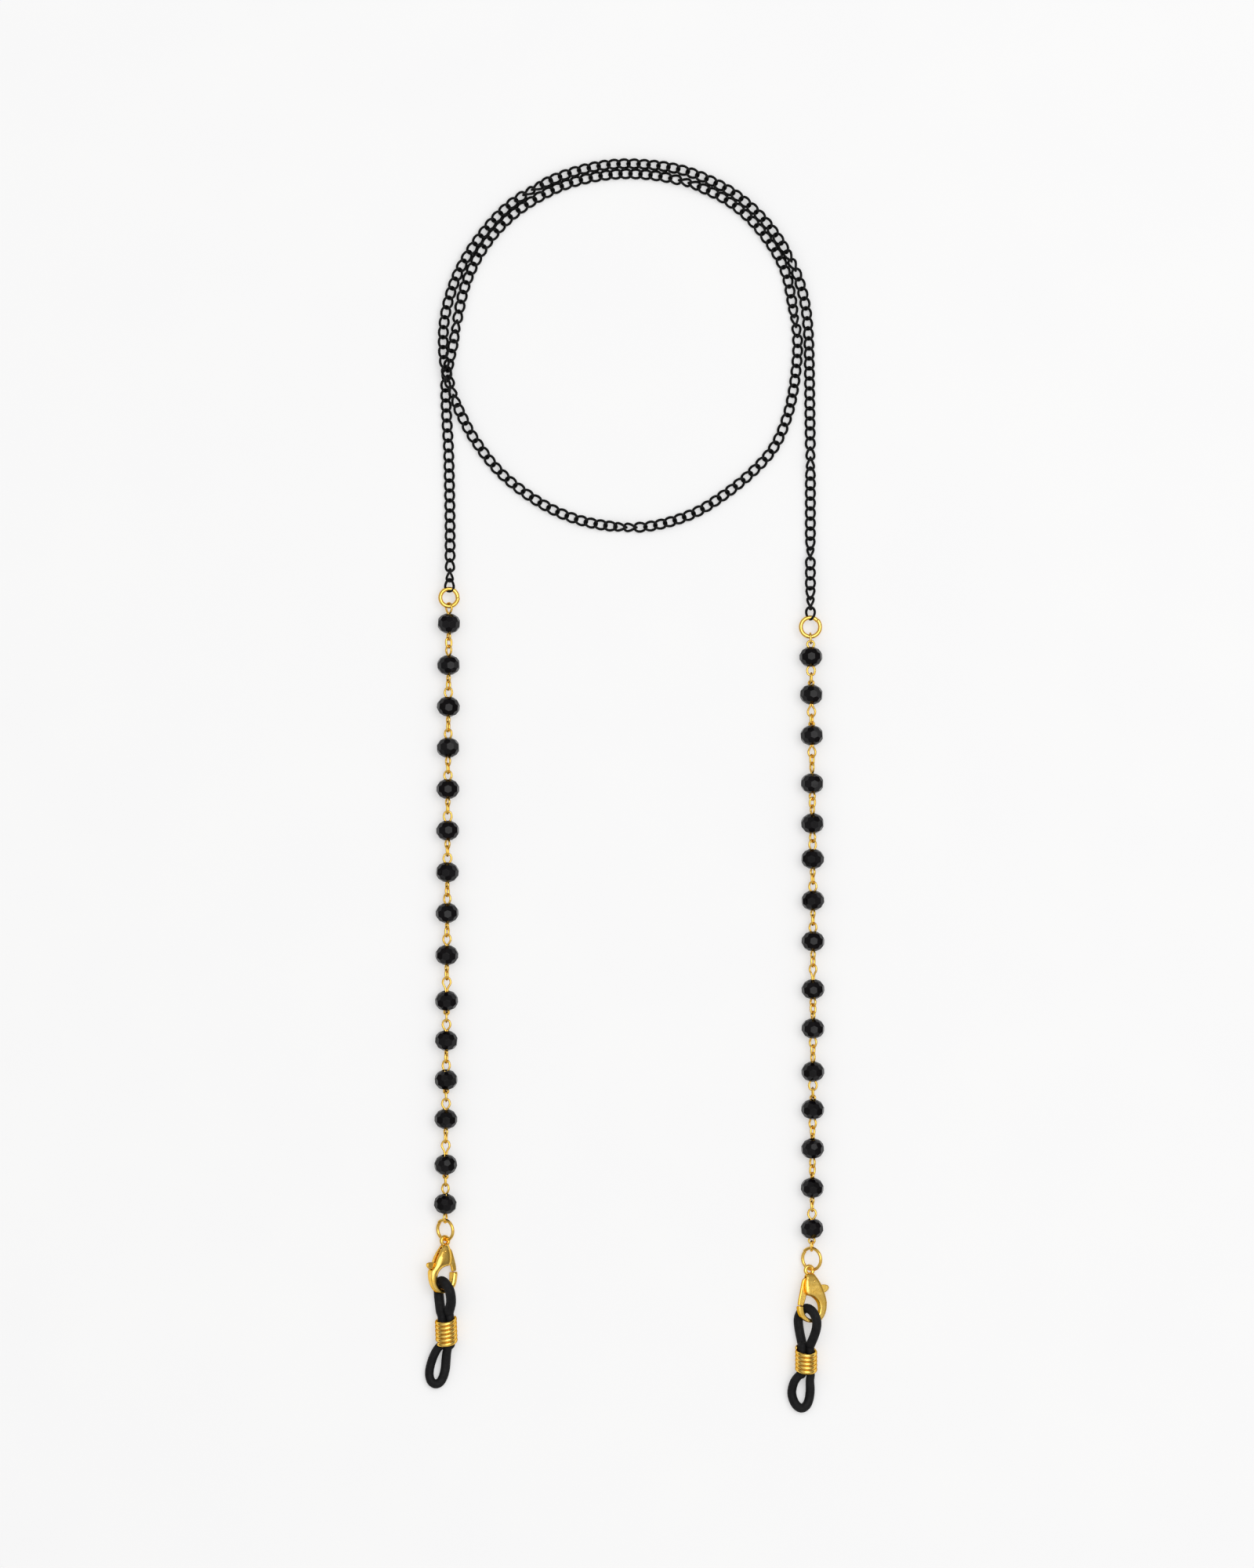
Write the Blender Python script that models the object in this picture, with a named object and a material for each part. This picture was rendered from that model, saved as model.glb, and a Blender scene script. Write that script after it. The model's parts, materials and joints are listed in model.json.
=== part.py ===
"""Eyeglass retainer chain: one curb chain, two beaded strands, two clasp ends.

Lengths are in millimetres while the shapes are worked out and are turned into
metres when an object is made.  +X runs across the two strands, +Y runs along
them toward the neck chain, +Z is up from the surface the piece lies on.
"""
import math

import bpy
import bmesh
from mathutils import Matrix, Vector

MM = 0.001
FRAME_SHIFT = Vector((0.034, -0.127, 0.0))

# neck chain
CHAIN_DIAMETER = 1.8
CHAIN_POINTS = 79
CHAIN_ROUTE = (
    (-34.9, 81.5, 1.5), (-34.8, 85.5, 1.0), (-34.8, 93.0, 0.92), (-34.9, 99.8, 0.92),
    (-35.1, 108.1, 0.92), (-35.4, 113.3, 0.92), (-35.6, 117.5, 0.92), (-35.6, 121.6, 0.92),
    (-34.9, 125.6, 0.92), (-34.1, 129.3, 0.92), (-33.2, 134.5, 0.92), (-31.9, 140.1, 0.92),
    (-29.6, 145.5, 0.92), (-26.4, 150.2, 0.92), (-22.5, 154.2, 0.92), (-18.0, 157.3, 0.92),
    (-12.9, 159.8, 0.92), (-7.5, 161.4, 0.92), (-1.6, 162.2, 0.92), (4.4, 162.0, 0.92),
    (9.9, 161.0, 0.92), (15.0, 159.3, 0.92), (19.9, 156.8, 0.92), (24.1, 153.4, 0.92),
    (27.3, 149.6, 0.92), (29.7, 145.9, 0.92), (31.2, 142.4, 0.92), (32.0, 138.8, 0.92),
    (32.7, 134.5, 0.92), (33.3, 130.7, 0.92), (33.4, 127.5, 0.92), (33.1, 123.7, 0.92),
    (32.5, 119.4, 0.92), (31.3, 114.4, 0.92), (28.9, 108.8, 0.92), (25.0, 104.2, 0.92),
    (19.2, 99.4, 0.92), (12.5, 95.4, 0.92), (4.4, 93.1, 0.92), (-3.2, 93.1, 0.92),
    (-10.7, 94.7, 0.92), (-17.8, 98.1, 0.92), (-24.8, 103.5, 0.95), (-29.8, 109.8, 1.2),
    (-32.5, 114.7, 1.9), (-33.6, 117.3, 2.45), (-34.5, 119.9, 2.95), (-35.2, 122.3, 3.05),
    (-35.8, 124.8, 2.95), (-36.1, 127.8, 2.6), (-36.0, 132.6, 2.1), (-35.0, 137.7, 1.7),
    (-32.9, 143.4, 1.5), (-29.2, 149.4, 1.5), (-24.1, 155.2, 1.5), (-18.1, 159.4, 1.5),
    (-11.1, 162.4, 1.5), (-3.6, 164.0, 1.5), (4.1, 164.0, 1.5), (11.6, 162.7, 1.5),
    (18.6, 159.7, 1.6), (23.3, 156.5, 1.7), (27.5, 152.3, 1.7), (30.9, 147.4, 1.7),
    (33.2, 142.6, 1.6), (34.8, 137.0, 1.4), (35.5, 131.0, 1.1), (35.7, 124.1, 0.92),
    (35.8, 116.1, 0.92), (35.9, 107.2, 0.92), (35.9, 97.9, 0.92), (35.9, 88.7, 0.92),
    (35.9, 80.0, 1.0), (35.9, 76.0, 1.5),
)

# strands
AXIS_HEIGHT = 2.15
BEAD_RADIUS = 2.12
BEAD_HALF_LENGTH = 1.87
BEAD_SHOULDER_RADIUS = 1.85
BEAD_SHOULDER_OFFSET = 1.05
BEAD_RIM_RADIUS = 1.0
BEAD_NECK_RADIUS = 0.34
BEAD_SIDES = 8
WIRE_RADIUS = 0.2
LINK_HALF_LENGTH = 0.9
LINK_HALF_WIDTH = 0.62
HOOKED_SPACING = 0.3
FREE_SPACING = 0.46
LOOP_HALF_WIDTH = 0.72

LEFT = {
    "name": "left",
    "first_bead": 74.0,
    "pitches": (8.15, 8.15, 8.05, 8.1, 8.15, 8.15, 8.0, 8.25, 8.95, 7.8, 7.7, 7.7, 8.95, 7.7),
    "groups": (3, 3, 3, 2, 2, 2),
    "end_links": False,
    "upper_ring": {"centre_y": 79.08, "radius": 1.765, "wire": 0.31},
    "lower_ring": {"centre_y": -44.55, "radius": 1.99, "wire": 0.26, "roll": -36.0},
    "eye_below_ring": 0.68,
    "last_twist": -70.0,
    "clasp_turn": -7.0,
    "flip": 0.0,
    "coil_shift": 0.2,
    "hang": (
        (-0.6, -13.7, 1.5), (-1.1, -12.2, 0.95), (-1.45, -10.7, 0.92), (-1.5, -9.5, 0.95),
        (-1.3, -8.6, 1.3), (-1.0, -8.05, 2.05), (-0.65, -7.95, 2.9), (-0.1, -8.35, 3.6),
        (0.75, -9.3, 3.85), (1.3, -10.7, 3.8), (1.35, -12.3, 3.25), (0.95, -13.8, 2.4),
    ),
    "coil_turns": 5.4,
    "coil_drop": 17.4,
    "coil_turn": 2.0,
    "tail_lean": -15.0,
    "tail_length": 8.0,
}
RIGHT = {
    "name": "right",
    "first_bead": 67.45,
    "pitches": (7.4, 8.0, 9.4, 7.85, 6.95, 8.15, 8.0, 9.4, 7.7, 8.45, 7.4, 7.7, 7.7, 8.0),
    "groups": (3, 2, 3, 2, 3, 2),
    "end_links": True,
    "upper_ring": {"centre_y": 73.3, "radius": 1.96, "wire": 0.33},
    "lower_ring": {"centre_y": -50.4, "radius": 2.0, "wire": 0.28, "roll": -33.0},
    "eye_below_ring": 0.76,
    "last_twist": -74.0,
    "clasp_turn": 0.0,
    "flip": 180.0,
    "coil_shift": -0.75,
    "hang": (
        (-1.5, -14.2, 1.5), (-1.95, -12.5, 0.95), (-2.1, -10.9, 0.92), (-1.9, -9.6, 1.0),
        (-1.45, -8.6, 1.35), (-0.9, -7.95, 1.95), (-0.3, -7.75, 2.65), (0.4, -8.0, 3.25),
        (1.05, -8.8, 3.65), (1.5, -9.9, 3.75), (1.6, -11.3, 3.55), (1.15, -12.8, 3.05),
        (0.2, -14.3, 2.4),
    ),
    "coil_turns": 5.6,
    "coil_drop": 18.0,
    "coil_turn": 0.0,
    "tail_lean": -5.0,
    "tail_length": 6.5,
}
SIDES = (LEFT, RIGHT)
FIRST_LOOP_TWIST = 66.0

# clasps
CLASP_ROLL = 20.0
CLASP_PITCH = -2.8
EYE_RADIUS = 0.97
EYE_WIRE = 0.3
SLOT_HALF_DEPTH = 0.5
SLOT_TOP = -1.5
SLOT_BOTTOM = -5.9
LEVER_HALF_DEPTH = 0.4
PIVOT = (-0.2, -2.35)
PIN_RADIUS = 0.3
PIN_HALF_LENGTH = 0.88
PIN_HOLE_RADIUS = 0.36
HOOK_CENTRE = (-0.25, -8.1)
SHELL_STATIONS = (
    (-1.05, 0.0, 0.72, 0.5), (-1.45, -0.03, 0.95, 0.7), (-2.2, -0.1, 1.3, 1.0),
    (-3.2, -0.35, 1.75, 1.2), (-4.3, -0.75, 1.85, 1.15), (-5.2, -0.95, 1.2, 0.85),
)
ARM_ROUTE = (
    (-1.2, -3.4, 0.9), (-1.95, -4.7, 0.92), (-2.45, -6.0, 0.78), (-2.6, -7.2, 0.68),
    (-2.35, -8.4, 0.64), (-1.5, -9.4, 0.58), (-0.3, -9.75, 0.54), (0.9, -9.35, 0.5),
    (1.7, -8.5, 0.48), (1.95, -7.75, 0.45), (1.93, -7.2, 0.42),
)
LEVER_OUTLINE = (
    (-3.3, -3.25), (-3.75, -3.75), (-3.3, -4.3), (-2.6, -4.4), (-0.8, -4.2), (0.4, -4.5),
    (0.85, -5.6), (1.3, -6.75), (2.1, -6.8), (1.95, -5.4), (1.5, -3.4), (0.95, -2.1),
    (0.35, -1.65), (-0.5, -1.75), (-0.85, -2.75),
)
SPRING_TOP = (-0.98, -1.62, 0.0)
SPRING_END = (-1.24, -2.52, 0.0)
SPRING_RADIUS = 0.26
SPRING_WIRE = 0.07
SPRING_TURNS = 3
SPRING_SEGMENTS = 8

# rubber loops and coil sliders
RUBBER_RADIUS = 0.9
SQUEEZED_RADIUS = 0.74
SQUEEZED_OFFSET = 0.78
COIL_RADIUS = 1.84
COIL_HALF_WIDTH = 0.41
COIL_HALF_THICKNESS = 0.22
COIL_PITCH = 0.86
COIL_SEGMENTS = 12
COIL_GRIP = 2.75


def make_material(name, colour, metallic, roughness):
    """One plain material for a family of pieces."""
    material = bpy.data.materials.new(name)
    material.use_nodes = True
    shader = material.node_tree.nodes["Principled BSDF"]
    shader.inputs["Base Color"].default_value = (*colour, 1.0)
    shader.inputs["Metallic"].default_value = metallic
    shader.inputs["Roughness"].default_value = roughness
    material.diffuse_color = (*colour, 1.0)
    return material


def clear_scene():
    """Start from an empty scene."""
    for item in list(bpy.data.objects):
        bpy.data.objects.remove(item, do_unlink=True)


def strand_x(side, y):
    """Sideways place of a strand at a given length."""
    if side["name"] == "left":
        return -35.47 + 0.006 * y
    return 36.4 - 0.0001 * (y - 2.0) ** 2


def smooth_route(points, per_span):
    """Catmull-Rom curve through hand placed points."""
    pts = [Vector(p) for p in points]
    pts = [2 * pts[0] - pts[1]] + pts + [2 * pts[-1] - pts[-2]]
    dense = []
    for i in range(1, len(pts) - 2):
        p0, p1, p2, p3 = pts[i - 1:i + 3]
        for k in range(per_span):
            t = k / per_span
            dense.append(0.5 * (
                2 * p1 + (p2 - p0) * t
                + (2 * p0 - 5 * p1 + 4 * p2 - p3) * t ** 2
                + (3 * p1 - p0 - 3 * p2 + p3) * t ** 3
            ))
    dense.append(pts[-2])
    return dense


def even_points(dense, count):
    """Evenly spaced points along a dense polyline."""
    lengths = [0.0]
    for a, b in zip(dense, dense[1:]):
        lengths.append(lengths[-1] + (b - a).length)
    result = []
    j = 0
    for i in range(count):
        want = lengths[-1] * i / (count - 1)
        while j < len(dense) - 2 and lengths[j + 1] < want:
            j += 1
        span = max(lengths[j + 1] - lengths[j], 1e-9)
        result.append(dense[j].lerp(dense[j + 1], (want - lengths[j]) / span))
    return result


def tube_mesh(points, radii, sides, closed, normal, flatten=1.0):
    """Sweep a round or flattened section along a path; returns vertices and faces."""
    pts = [Vector(p) for p in points]
    count = len(pts)
    if not hasattr(radii, "__len__"):
        radii = [radii] * count
    tangents = []
    for i in range(count):
        before = pts[i - 1] if closed or i > 0 else pts[0]
        after = pts[(i + 1) % count] if closed or i < count - 1 else pts[-1]
        tangents.append((after - before).normalized())
    side = Vector(normal)
    frames = []
    for tangent in tangents:
        side = (side - side.dot(tangent) * tangent).normalized()
        frames.append((side, tangent.cross(side)))
    twist = 0.0
    if closed:
        first = tangents[0]
        back = (side - side.dot(first) * first).normalized()
        twist = math.atan2(back.dot(frames[0][1]), back.dot(frames[0][0]))
    verts = []
    for i in range(count):
        shift = -twist * i / count
        for k in range(sides):
            angle = 2 * math.pi * k / sides + shift
            across = math.cos(angle) * frames[i][0] + flatten * math.sin(angle) * frames[i][1]
            verts.append(pts[i] + radii[i] * across)
    faces = []
    for i in range(count if closed else count - 1):
        j = (i + 1) % count
        for k in range(sides):
            m = (k + 1) % sides
            faces.append((i * sides + k, i * sides + m, j * sides + m, j * sides + k))
    if not closed:
        faces.append(tuple(range(sides))[::-1])
        faces.append(tuple((count - 1) * sides + k for k in range(sides)))
    return verts, faces


def prism_mesh(outline, low, high):
    """Straight extrusion of a flat outline given in counter-clockwise order."""
    count = len(outline)
    verts = [Vector((x, y, low)) for x, y in outline]
    verts += [Vector((x, y, high)) for x, y in outline]
    faces = [tuple(range(count))[::-1], tuple(range(count, 2 * count))]
    for i in range(count):
        j = (i + 1) % count
        faces.append((i, j, count + j, count + i))
    return verts, faces


def moved(shape, matrix):
    """A shape carried by a matrix."""
    verts, faces = shape
    return [matrix @ v for v in verts], faces


def make_mesh(name, shape, origin):
    """Blender mesh in metres about an origin, faces turned outward."""
    verts, faces = shape
    mesh = bpy.data.meshes.new(name)
    mesh.from_pydata([(v - origin) * MM for v in verts], [], faces)
    work = bmesh.new()
    work.from_mesh(mesh)
    bmesh.ops.recalc_face_normals(work, faces=work.faces)
    work.to_mesh(mesh)
    work.free()
    return mesh


def make_object(name, shape, origin, material, smooth):
    """Named object with its origin on the given point."""
    origin = Vector(origin)
    mesh = make_mesh(name, shape, origin)
    item = bpy.data.objects.new(name, mesh)
    item.location = (origin + FRAME_SHIFT) * MM
    bpy.context.scene.collection.objects.link(item)
    mesh.materials.append(material)
    mesh.polygons.foreach_set("use_smooth", [smooth] * len(mesh.polygons))
    return item


def combine(name, shapes, cutters, origin, material):
    """Unite several closed shapes, take the cutters away, leave one body."""
    base = make_object(name, shapes[0], origin, material, True)
    helpers = []
    for operation, group in (("UNION", shapes[1:]), ("DIFFERENCE", cutters)):
        for shape in group:
            helper = make_object(name + "_tool", shape, origin, material, True)
            helpers.append(helper)
            step = base.modifiers.new(operation.lower(), "BOOLEAN")
            step.operation = operation
            step.solver = "EXACT"
            step.object = helper
    graph = bpy.context.evaluated_depsgraph_get()
    graph.update()
    solid = bpy.data.meshes.new_from_object(base.evaluated_get(graph))
    base.modifiers.clear()
    base.data = solid
    for helper in helpers:
        bpy.data.objects.remove(helper, do_unlink=True)
    solid.materials.clear()
    solid.materials.append(material)
    solid.polygons.foreach_set("use_smooth", [True] * len(solid.polygons))
    return base


def circle_points(centre, radius, count, roll):
    """Points of a circle whose plane is rolled about the strand direction."""
    turn = Matrix.Rotation(math.radians(roll), 3, "Y")
    points = []
    for i in range(count):
        angle = 2 * math.pi * i / count
        flat = Vector((radius * math.sin(angle), radius * math.cos(angle), 0.0))
        points.append(Vector(centre) + turn @ flat)
    return points, turn @ Vector((0, 0, 1))


def add_chain(material):
    """Neck chain as one round cord along its route."""
    points = even_points(smooth_route(CHAIN_ROUTE, 12), CHAIN_POINTS)
    curve = bpy.data.curves.new("neck_chain", "CURVE")
    curve.dimensions = "3D"
    curve.bevel_depth = CHAIN_DIAMETER / 2 * MM
    curve.bevel_resolution = 2
    curve.use_fill_caps = True
    spline = curve.splines.new("POLY")
    spline.points.add(len(points) - 1)
    for slot, point in zip(spline.points, points):
        slot.co = (*((point + FRAME_SHIFT) * MM), 1.0)
    curve.materials.append(material)
    item = bpy.data.objects.new("neck_chain", curve)
    bpy.context.scene.collection.objects.link(item)


def bead_shape(centre):
    """Faceted bead along Y with a flared hole at both ends."""
    rings = (
        (0.0, BEAD_NECK_RADIUS, 0.0),
        (BEAD_HALF_LENGTH, BEAD_RIM_RADIUS, 0.0),
        (BEAD_SHOULDER_OFFSET, BEAD_SHOULDER_RADIUS, 0.5),
        (0.0, BEAD_RADIUS, 0.0),
        (-BEAD_SHOULDER_OFFSET, BEAD_SHOULDER_RADIUS, 0.5),
        (-BEAD_HALF_LENGTH, BEAD_RIM_RADIUS, 0.0),
    )
    verts = []
    for along, radius, step in rings:
        for k in range(BEAD_SIDES):
            angle = 2 * math.pi * (k + step) / BEAD_SIDES
            offset = (radius * math.cos(angle), along, radius * math.sin(angle))
            verts.append(Vector(centre) + Vector(offset))
    faces = []
    count = len(rings)
    for i in range(count):
        j = (i + 1) % count
        low = i * BEAD_SIDES
        high = j * BEAD_SIDES
        lead = rings[j][2] > rings[i][2]
        lag = rings[j][2] < rings[i][2]
        for k in range(BEAD_SIDES):
            m = (k + 1) % BEAD_SIDES
            if lead:
                faces.append((low + k, low + m, high + k))
                faces.append((low + m, high + m, high + k))
            elif lag:
                faces.append((low + k, high + m, high + k))
                faces.append((low + k, low + m, high + m))
            else:
                faces.append((low + k, low + m, high + m, high + k))
    return verts, faces


def bead_places(side):
    """Centres of all beads of a strand, top to bottom."""
    places = [side["first_bead"]]
    for pitch in side["pitches"]:
        places.append(places[-1] - pitch)
    return places


def group_starts(side):
    """Index of the first bead of each wire group."""
    starts = [0]
    for size in side["groups"][:-1]:
        starts.append(starts[-1] + size)
    return starts


def gap_plan(side, index):
    """Loops and link in the gap below a bead: two equal loops joined by one link."""
    places = bead_places(side)
    upper_face = places[index] - BEAD_HALF_LENGTH
    lower_face = places[index + 1] + BEAD_HALF_LENGTH
    boundary = index + 1 in group_starts(side)
    lower_spacing = FREE_SPACING if boundary else HOOKED_SPACING
    total = upper_face - lower_face + HOOKED_SPACING + lower_spacing
    reach = total / 2 - LINK_HALF_LENGTH
    link_centre = upper_face - reach + HOOKED_SPACING - LINK_HALF_LENGTH
    twist = 90.0 * (index % 2)
    pivot = link_centre - LINK_HALF_LENGTH if twist == 0.0 else lower_face + reach
    return {"reach": reach, "twist": twist, "link_centre": link_centre, "pivot": pivot}


def top_contact(side):
    """Apex of the first loop or link hung on the upper ring."""
    ring = side["upper_ring"]
    return ring["centre_y"] - ring["radius"] + ring["wire"] + WIRE_RADIUS + 0.05


def bottom_contact(side):
    """Apex of the last loop or link that carries the lower ring."""
    ring = side["lower_ring"]
    return ring["centre_y"] + ring["radius"] - ring["wire"] - WIRE_RADIUS - 0.1


def loop_points(face, direction, reach, twist):
    """Half of an eye pin: wire end, round the loop, back to the pin axis."""
    wide = reach - 0.7
    middle = 0.5 * (0.05 + wide)
    outline = (
        (-0.34, -0.28), (-0.58, 0.05), (-LOOP_HALF_WIDTH, middle), (-LOOP_HALF_WIDTH, wide),
        (-0.48, reach - 0.18), (0.0, reach), (0.48, reach - 0.18), (LOOP_HALF_WIDTH, wide),
        (LOOP_HALF_WIDTH, middle), (0.56, 0.05), (0.28, -0.42), (0.0, -0.95),
    )
    angle = math.radians(twist)
    points = []
    for across, along in outline:
        x = across * math.cos(angle)
        z = across * math.sin(angle)
        points.append(Vector((x, face + direction * along, AXIS_HEIGHT + z)))
    return points


def pin_shape(place, top, bottom):
    """Eye pin through one bead; top and bottom hold reach and twist."""
    upper = loop_points(place + BEAD_HALF_LENGTH, 1.0, *top)
    lower = loop_points(place - BEAD_HALF_LENGTH, -1.0, *bottom)
    angle = math.radians(top[1])
    normal = (-math.sin(angle), 0.0, math.cos(angle))
    return tube_mesh(upper + lower[::-1], WIRE_RADIUS, 4, False, normal)


def link_shape(centre_y, twist):
    """Oval link between two loops."""
    outline = (
        (0.25, LINK_HALF_LENGTH), (LINK_HALF_WIDTH, 0.45), (LINK_HALF_WIDTH, -0.45),
        (0.25, -LINK_HALF_LENGTH), (-0.25, -LINK_HALF_LENGTH), (-LINK_HALF_WIDTH, -0.45),
        (-LINK_HALF_WIDTH, 0.45), (-0.25, LINK_HALF_LENGTH),
    )
    angle = math.radians(twist)
    points = []
    for across, along in outline:
        x = across * math.cos(angle)
        z = across * math.sin(angle)
        points.append(Vector((x, centre_y + along, AXIS_HEIGHT + z)))
    normal = (-math.sin(angle), 0.0, math.cos(angle))
    return tube_mesh(points, WIRE_RADIUS, 4, True, normal)


def placed_on_strand(side, shape):
    """Carry a shape made about the line x = 0 onto its strand."""
    verts, faces = shape
    return [v + Vector((strand_x(side, v.y), 0.0, 0.0)) for v in verts], faces


def pin_ends(side, index):
    """Reach and twist of the top and bottom loop of one bead's pin."""
    places = bead_places(side)
    if index > 0:
        above = gap_plan(side, index - 1)
        top = (above["reach"], above["twist"])
    elif side["end_links"]:
        apex = top_contact(side) - 2 * LINK_HALF_LENGTH + HOOKED_SPACING
        top = (apex - places[0] - BEAD_HALF_LENGTH, 0.0)
    else:
        top = (top_contact(side) - places[0] - BEAD_HALF_LENGTH, FIRST_LOOP_TWIST)
    if index < len(places) - 1:
        below = gap_plan(side, index)
        bottom = (below["reach"], below["twist"])
    elif side["end_links"]:
        apex = bottom_contact(side) + 2 * LINK_HALF_LENGTH - HOOKED_SPACING
        bottom = (places[-1] - BEAD_HALF_LENGTH - apex, side["last_twist"] + 90.0)
    else:
        bottom = (places[-1] - BEAD_HALF_LENGTH - bottom_contact(side), side["last_twist"])
    return top, bottom


def add_wires(side, material):
    """Six wire groups of a strand, each one body about its own pivot."""
    places = bead_places(side)
    starts = group_starts(side)
    for number, start in enumerate(starts):
        end = start + side["groups"][number]
        shapes = []
        if number == 0:
            pivot = side["upper_ring"]["centre_y"]
            if side["end_links"]:
                shapes.append(link_shape(top_contact(side) - LINK_HALF_LENGTH, 90.0))
        else:
            pivot = gap_plan(side, start - 1)["pivot"]
        for index in range(start, end):
            shapes.append(pin_shape(places[index], *pin_ends(side, index)))
            if index < len(places) - 1:
                plan = gap_plan(side, index)
                shapes.append(link_shape(plan["link_centre"], plan["twist"] + 90.0))
            elif side["end_links"]:
                centre = bottom_contact(side) + LINK_HALF_LENGTH
                shapes.append(link_shape(centre, side["last_twist"]))
        shapes = [placed_on_strand(side, shape) for shape in shapes]
        origin = Vector((strand_x(side, pivot), pivot, AXIS_HEIGHT))
        name = side["name"] + "_wire_" + str(number + 1)
        combine(name, shapes, [], origin, material)


def add_beads(side, material):
    """Fifteen beads of a strand."""
    for number, place in enumerate(bead_places(side)):
        centre = Vector((strand_x(side, place), place, AXIS_HEIGHT))
        name = side["name"] + "_bead_" + str(number + 1).zfill(2)
        make_object(name, bead_shape(centre), centre, material, False)


def add_rings(side, material):
    """Upper and lower jump ring of a strand."""
    upper = side["upper_ring"]
    y = upper["centre_y"]
    centre = Vector((strand_x(side, y), y, AXIS_HEIGHT))
    points, normal = circle_points(centre, upper["radius"], 16, 0.0)
    shape = tube_mesh(points, upper["wire"], 6, True, normal)
    pivot = centre + Vector((0.0, upper["radius"], 0.0))
    make_object(side["name"] + "_upper_ring", shape, pivot, material, True)

    lower = side["lower_ring"]
    y = lower["centre_y"]
    centre = Vector((strand_x(side, y), y, AXIS_HEIGHT))
    points, normal = circle_points(centre, lower["radius"], 16, lower["roll"])
    shape = tube_mesh(points, lower["wire"], 6, True, normal)
    y = bottom_contact(side)
    pivot = Vector((strand_x(side, y), y, AXIS_HEIGHT))
    make_object(side["name"] + "_lower_ring", shape, pivot, material, True)


def clasp_matrix(side):
    """Place of a clasp: eye centre at the origin of its own frame."""
    ring = side["lower_ring"]
    low = ring["centre_y"] - ring["radius"]
    y = low + side["eye_below_ring"] - EYE_RADIUS
    move = Matrix.Translation((strand_x(side, low), y, AXIS_HEIGHT))
    turn = Matrix.Rotation(math.radians(side["clasp_turn"]), 4, "Z")
    pitch = Matrix.Rotation(math.radians(CLASP_PITCH), 4, "X")
    roll = Matrix.Rotation(math.radians(CLASP_ROLL + side["flip"]), 4, "Y")
    return move @ turn @ pitch @ roll


def shell_shape():
    """Rounded body between the eye and the arm."""
    sides = 12
    verts = []
    for y, middle, half_width, half_height in SHELL_STATIONS:
        for k in range(sides):
            angle = 2 * math.pi * (k + 0.5) / sides
            x = middle + half_width * math.cos(angle)
            verts.append(Vector((x, y, half_height * math.sin(angle))))
    faces = []
    last = len(SHELL_STATIONS) - 1
    for i in range(last):
        for k in range(sides):
            m = (k + 1) % sides
            low = i * sides
            high = low + sides
            faces.append((low + k, low + m, high + m, high + k))
    faces.append(tuple(range(sides)))
    faces.append(tuple(last * sides + k for k in range(sides))[::-1])
    return verts, faces


def disc_outline(radius, count):
    """Regular outline about the clasp pivot."""
    outline = []
    for k in range(count):
        angle = 2 * math.pi * k / count
        x = PIVOT[0] + radius * math.cos(angle)
        outline.append((x, PIVOT[1] + radius * math.sin(angle)))
    return outline


def add_clasp(side, gold):
    """Clasp body, lever, pin and spring."""
    place = clasp_matrix(side)
    name = side["name"]
    ring = side["lower_ring"]
    low = ring["centre_y"] - ring["radius"]
    ring_bottom = Vector((strand_x(side, low), low, AXIS_HEIGHT))
    points, normal = circle_points((0, 0, 0), EYE_RADIUS, 14, 0.0)
    eye = tube_mesh(points, EYE_WIRE, 6, True, normal)
    arm = tube_mesh(
        [(x, y, 0.0) for x, y, radius in ARM_ROUTE],
        [radius for x, y, radius in ARM_ROUTE], 8, False, (0, 0, 1),
    )
    box = ((-4.5, SLOT_BOTTOM), (4.5, SLOT_BOTTOM), (4.5, SLOT_TOP), (-4.5, SLOT_TOP))
    slot = prism_mesh(box, -SLOT_HALF_DEPTH, SLOT_HALF_DEPTH)
    hole = prism_mesh(disc_outline(PIN_HOLE_RADIUS, 12), -2.0, 2.0)
    shapes = [moved(shape, place) for shape in (shell_shape(), eye, arm)]
    cutters = [moved(shape, place) for shape in (slot, hole)]
    combine(name + "_clasp_body", shapes, cutters, ring_bottom, gold)

    pivot = place @ Vector((*PIVOT, 0.0))
    lever = prism_mesh(LEVER_OUTLINE, -LEVER_HALF_DEPTH, LEVER_HALF_DEPTH)
    hole = prism_mesh(disc_outline(PIN_HOLE_RADIUS, 12), -2.0, 2.0)
    item = combine(name + "_clasp_lever", [moved(lever, place)], [moved(hole, place)],
                   pivot, gold)
    item.data.polygons.foreach_set("use_smooth", [False] * len(item.data.polygons))

    pin = prism_mesh(disc_outline(PIN_RADIUS, 12), -PIN_HALF_LENGTH, PIN_HALF_LENGTH)
    make_object(name + "_lever_pin", moved(pin, place), pivot, gold, False)

    top = Vector(SPRING_TOP)
    end = Vector(SPRING_END)
    axis = (end - top).normalized()
    across = Vector((0, 0, 1)).cross(axis)
    steps = SPRING_TURNS * SPRING_SEGMENTS
    points = []
    for i in range(steps + 1):
        angle = 2 * math.pi * i / SPRING_SEGMENTS
        around = across * math.cos(angle) + Vector((0, 0, 1)) * math.sin(angle)
        points.append(place @ (top.lerp(end, i / steps) + SPRING_RADIUS * around))
    spring = tube_mesh(points, SPRING_WIRE, 4, False, place.to_3x3() @ axis)
    make_object(name + "_lever_spring", spring, place @ ((top + end) / 2), gold, True)


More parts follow.
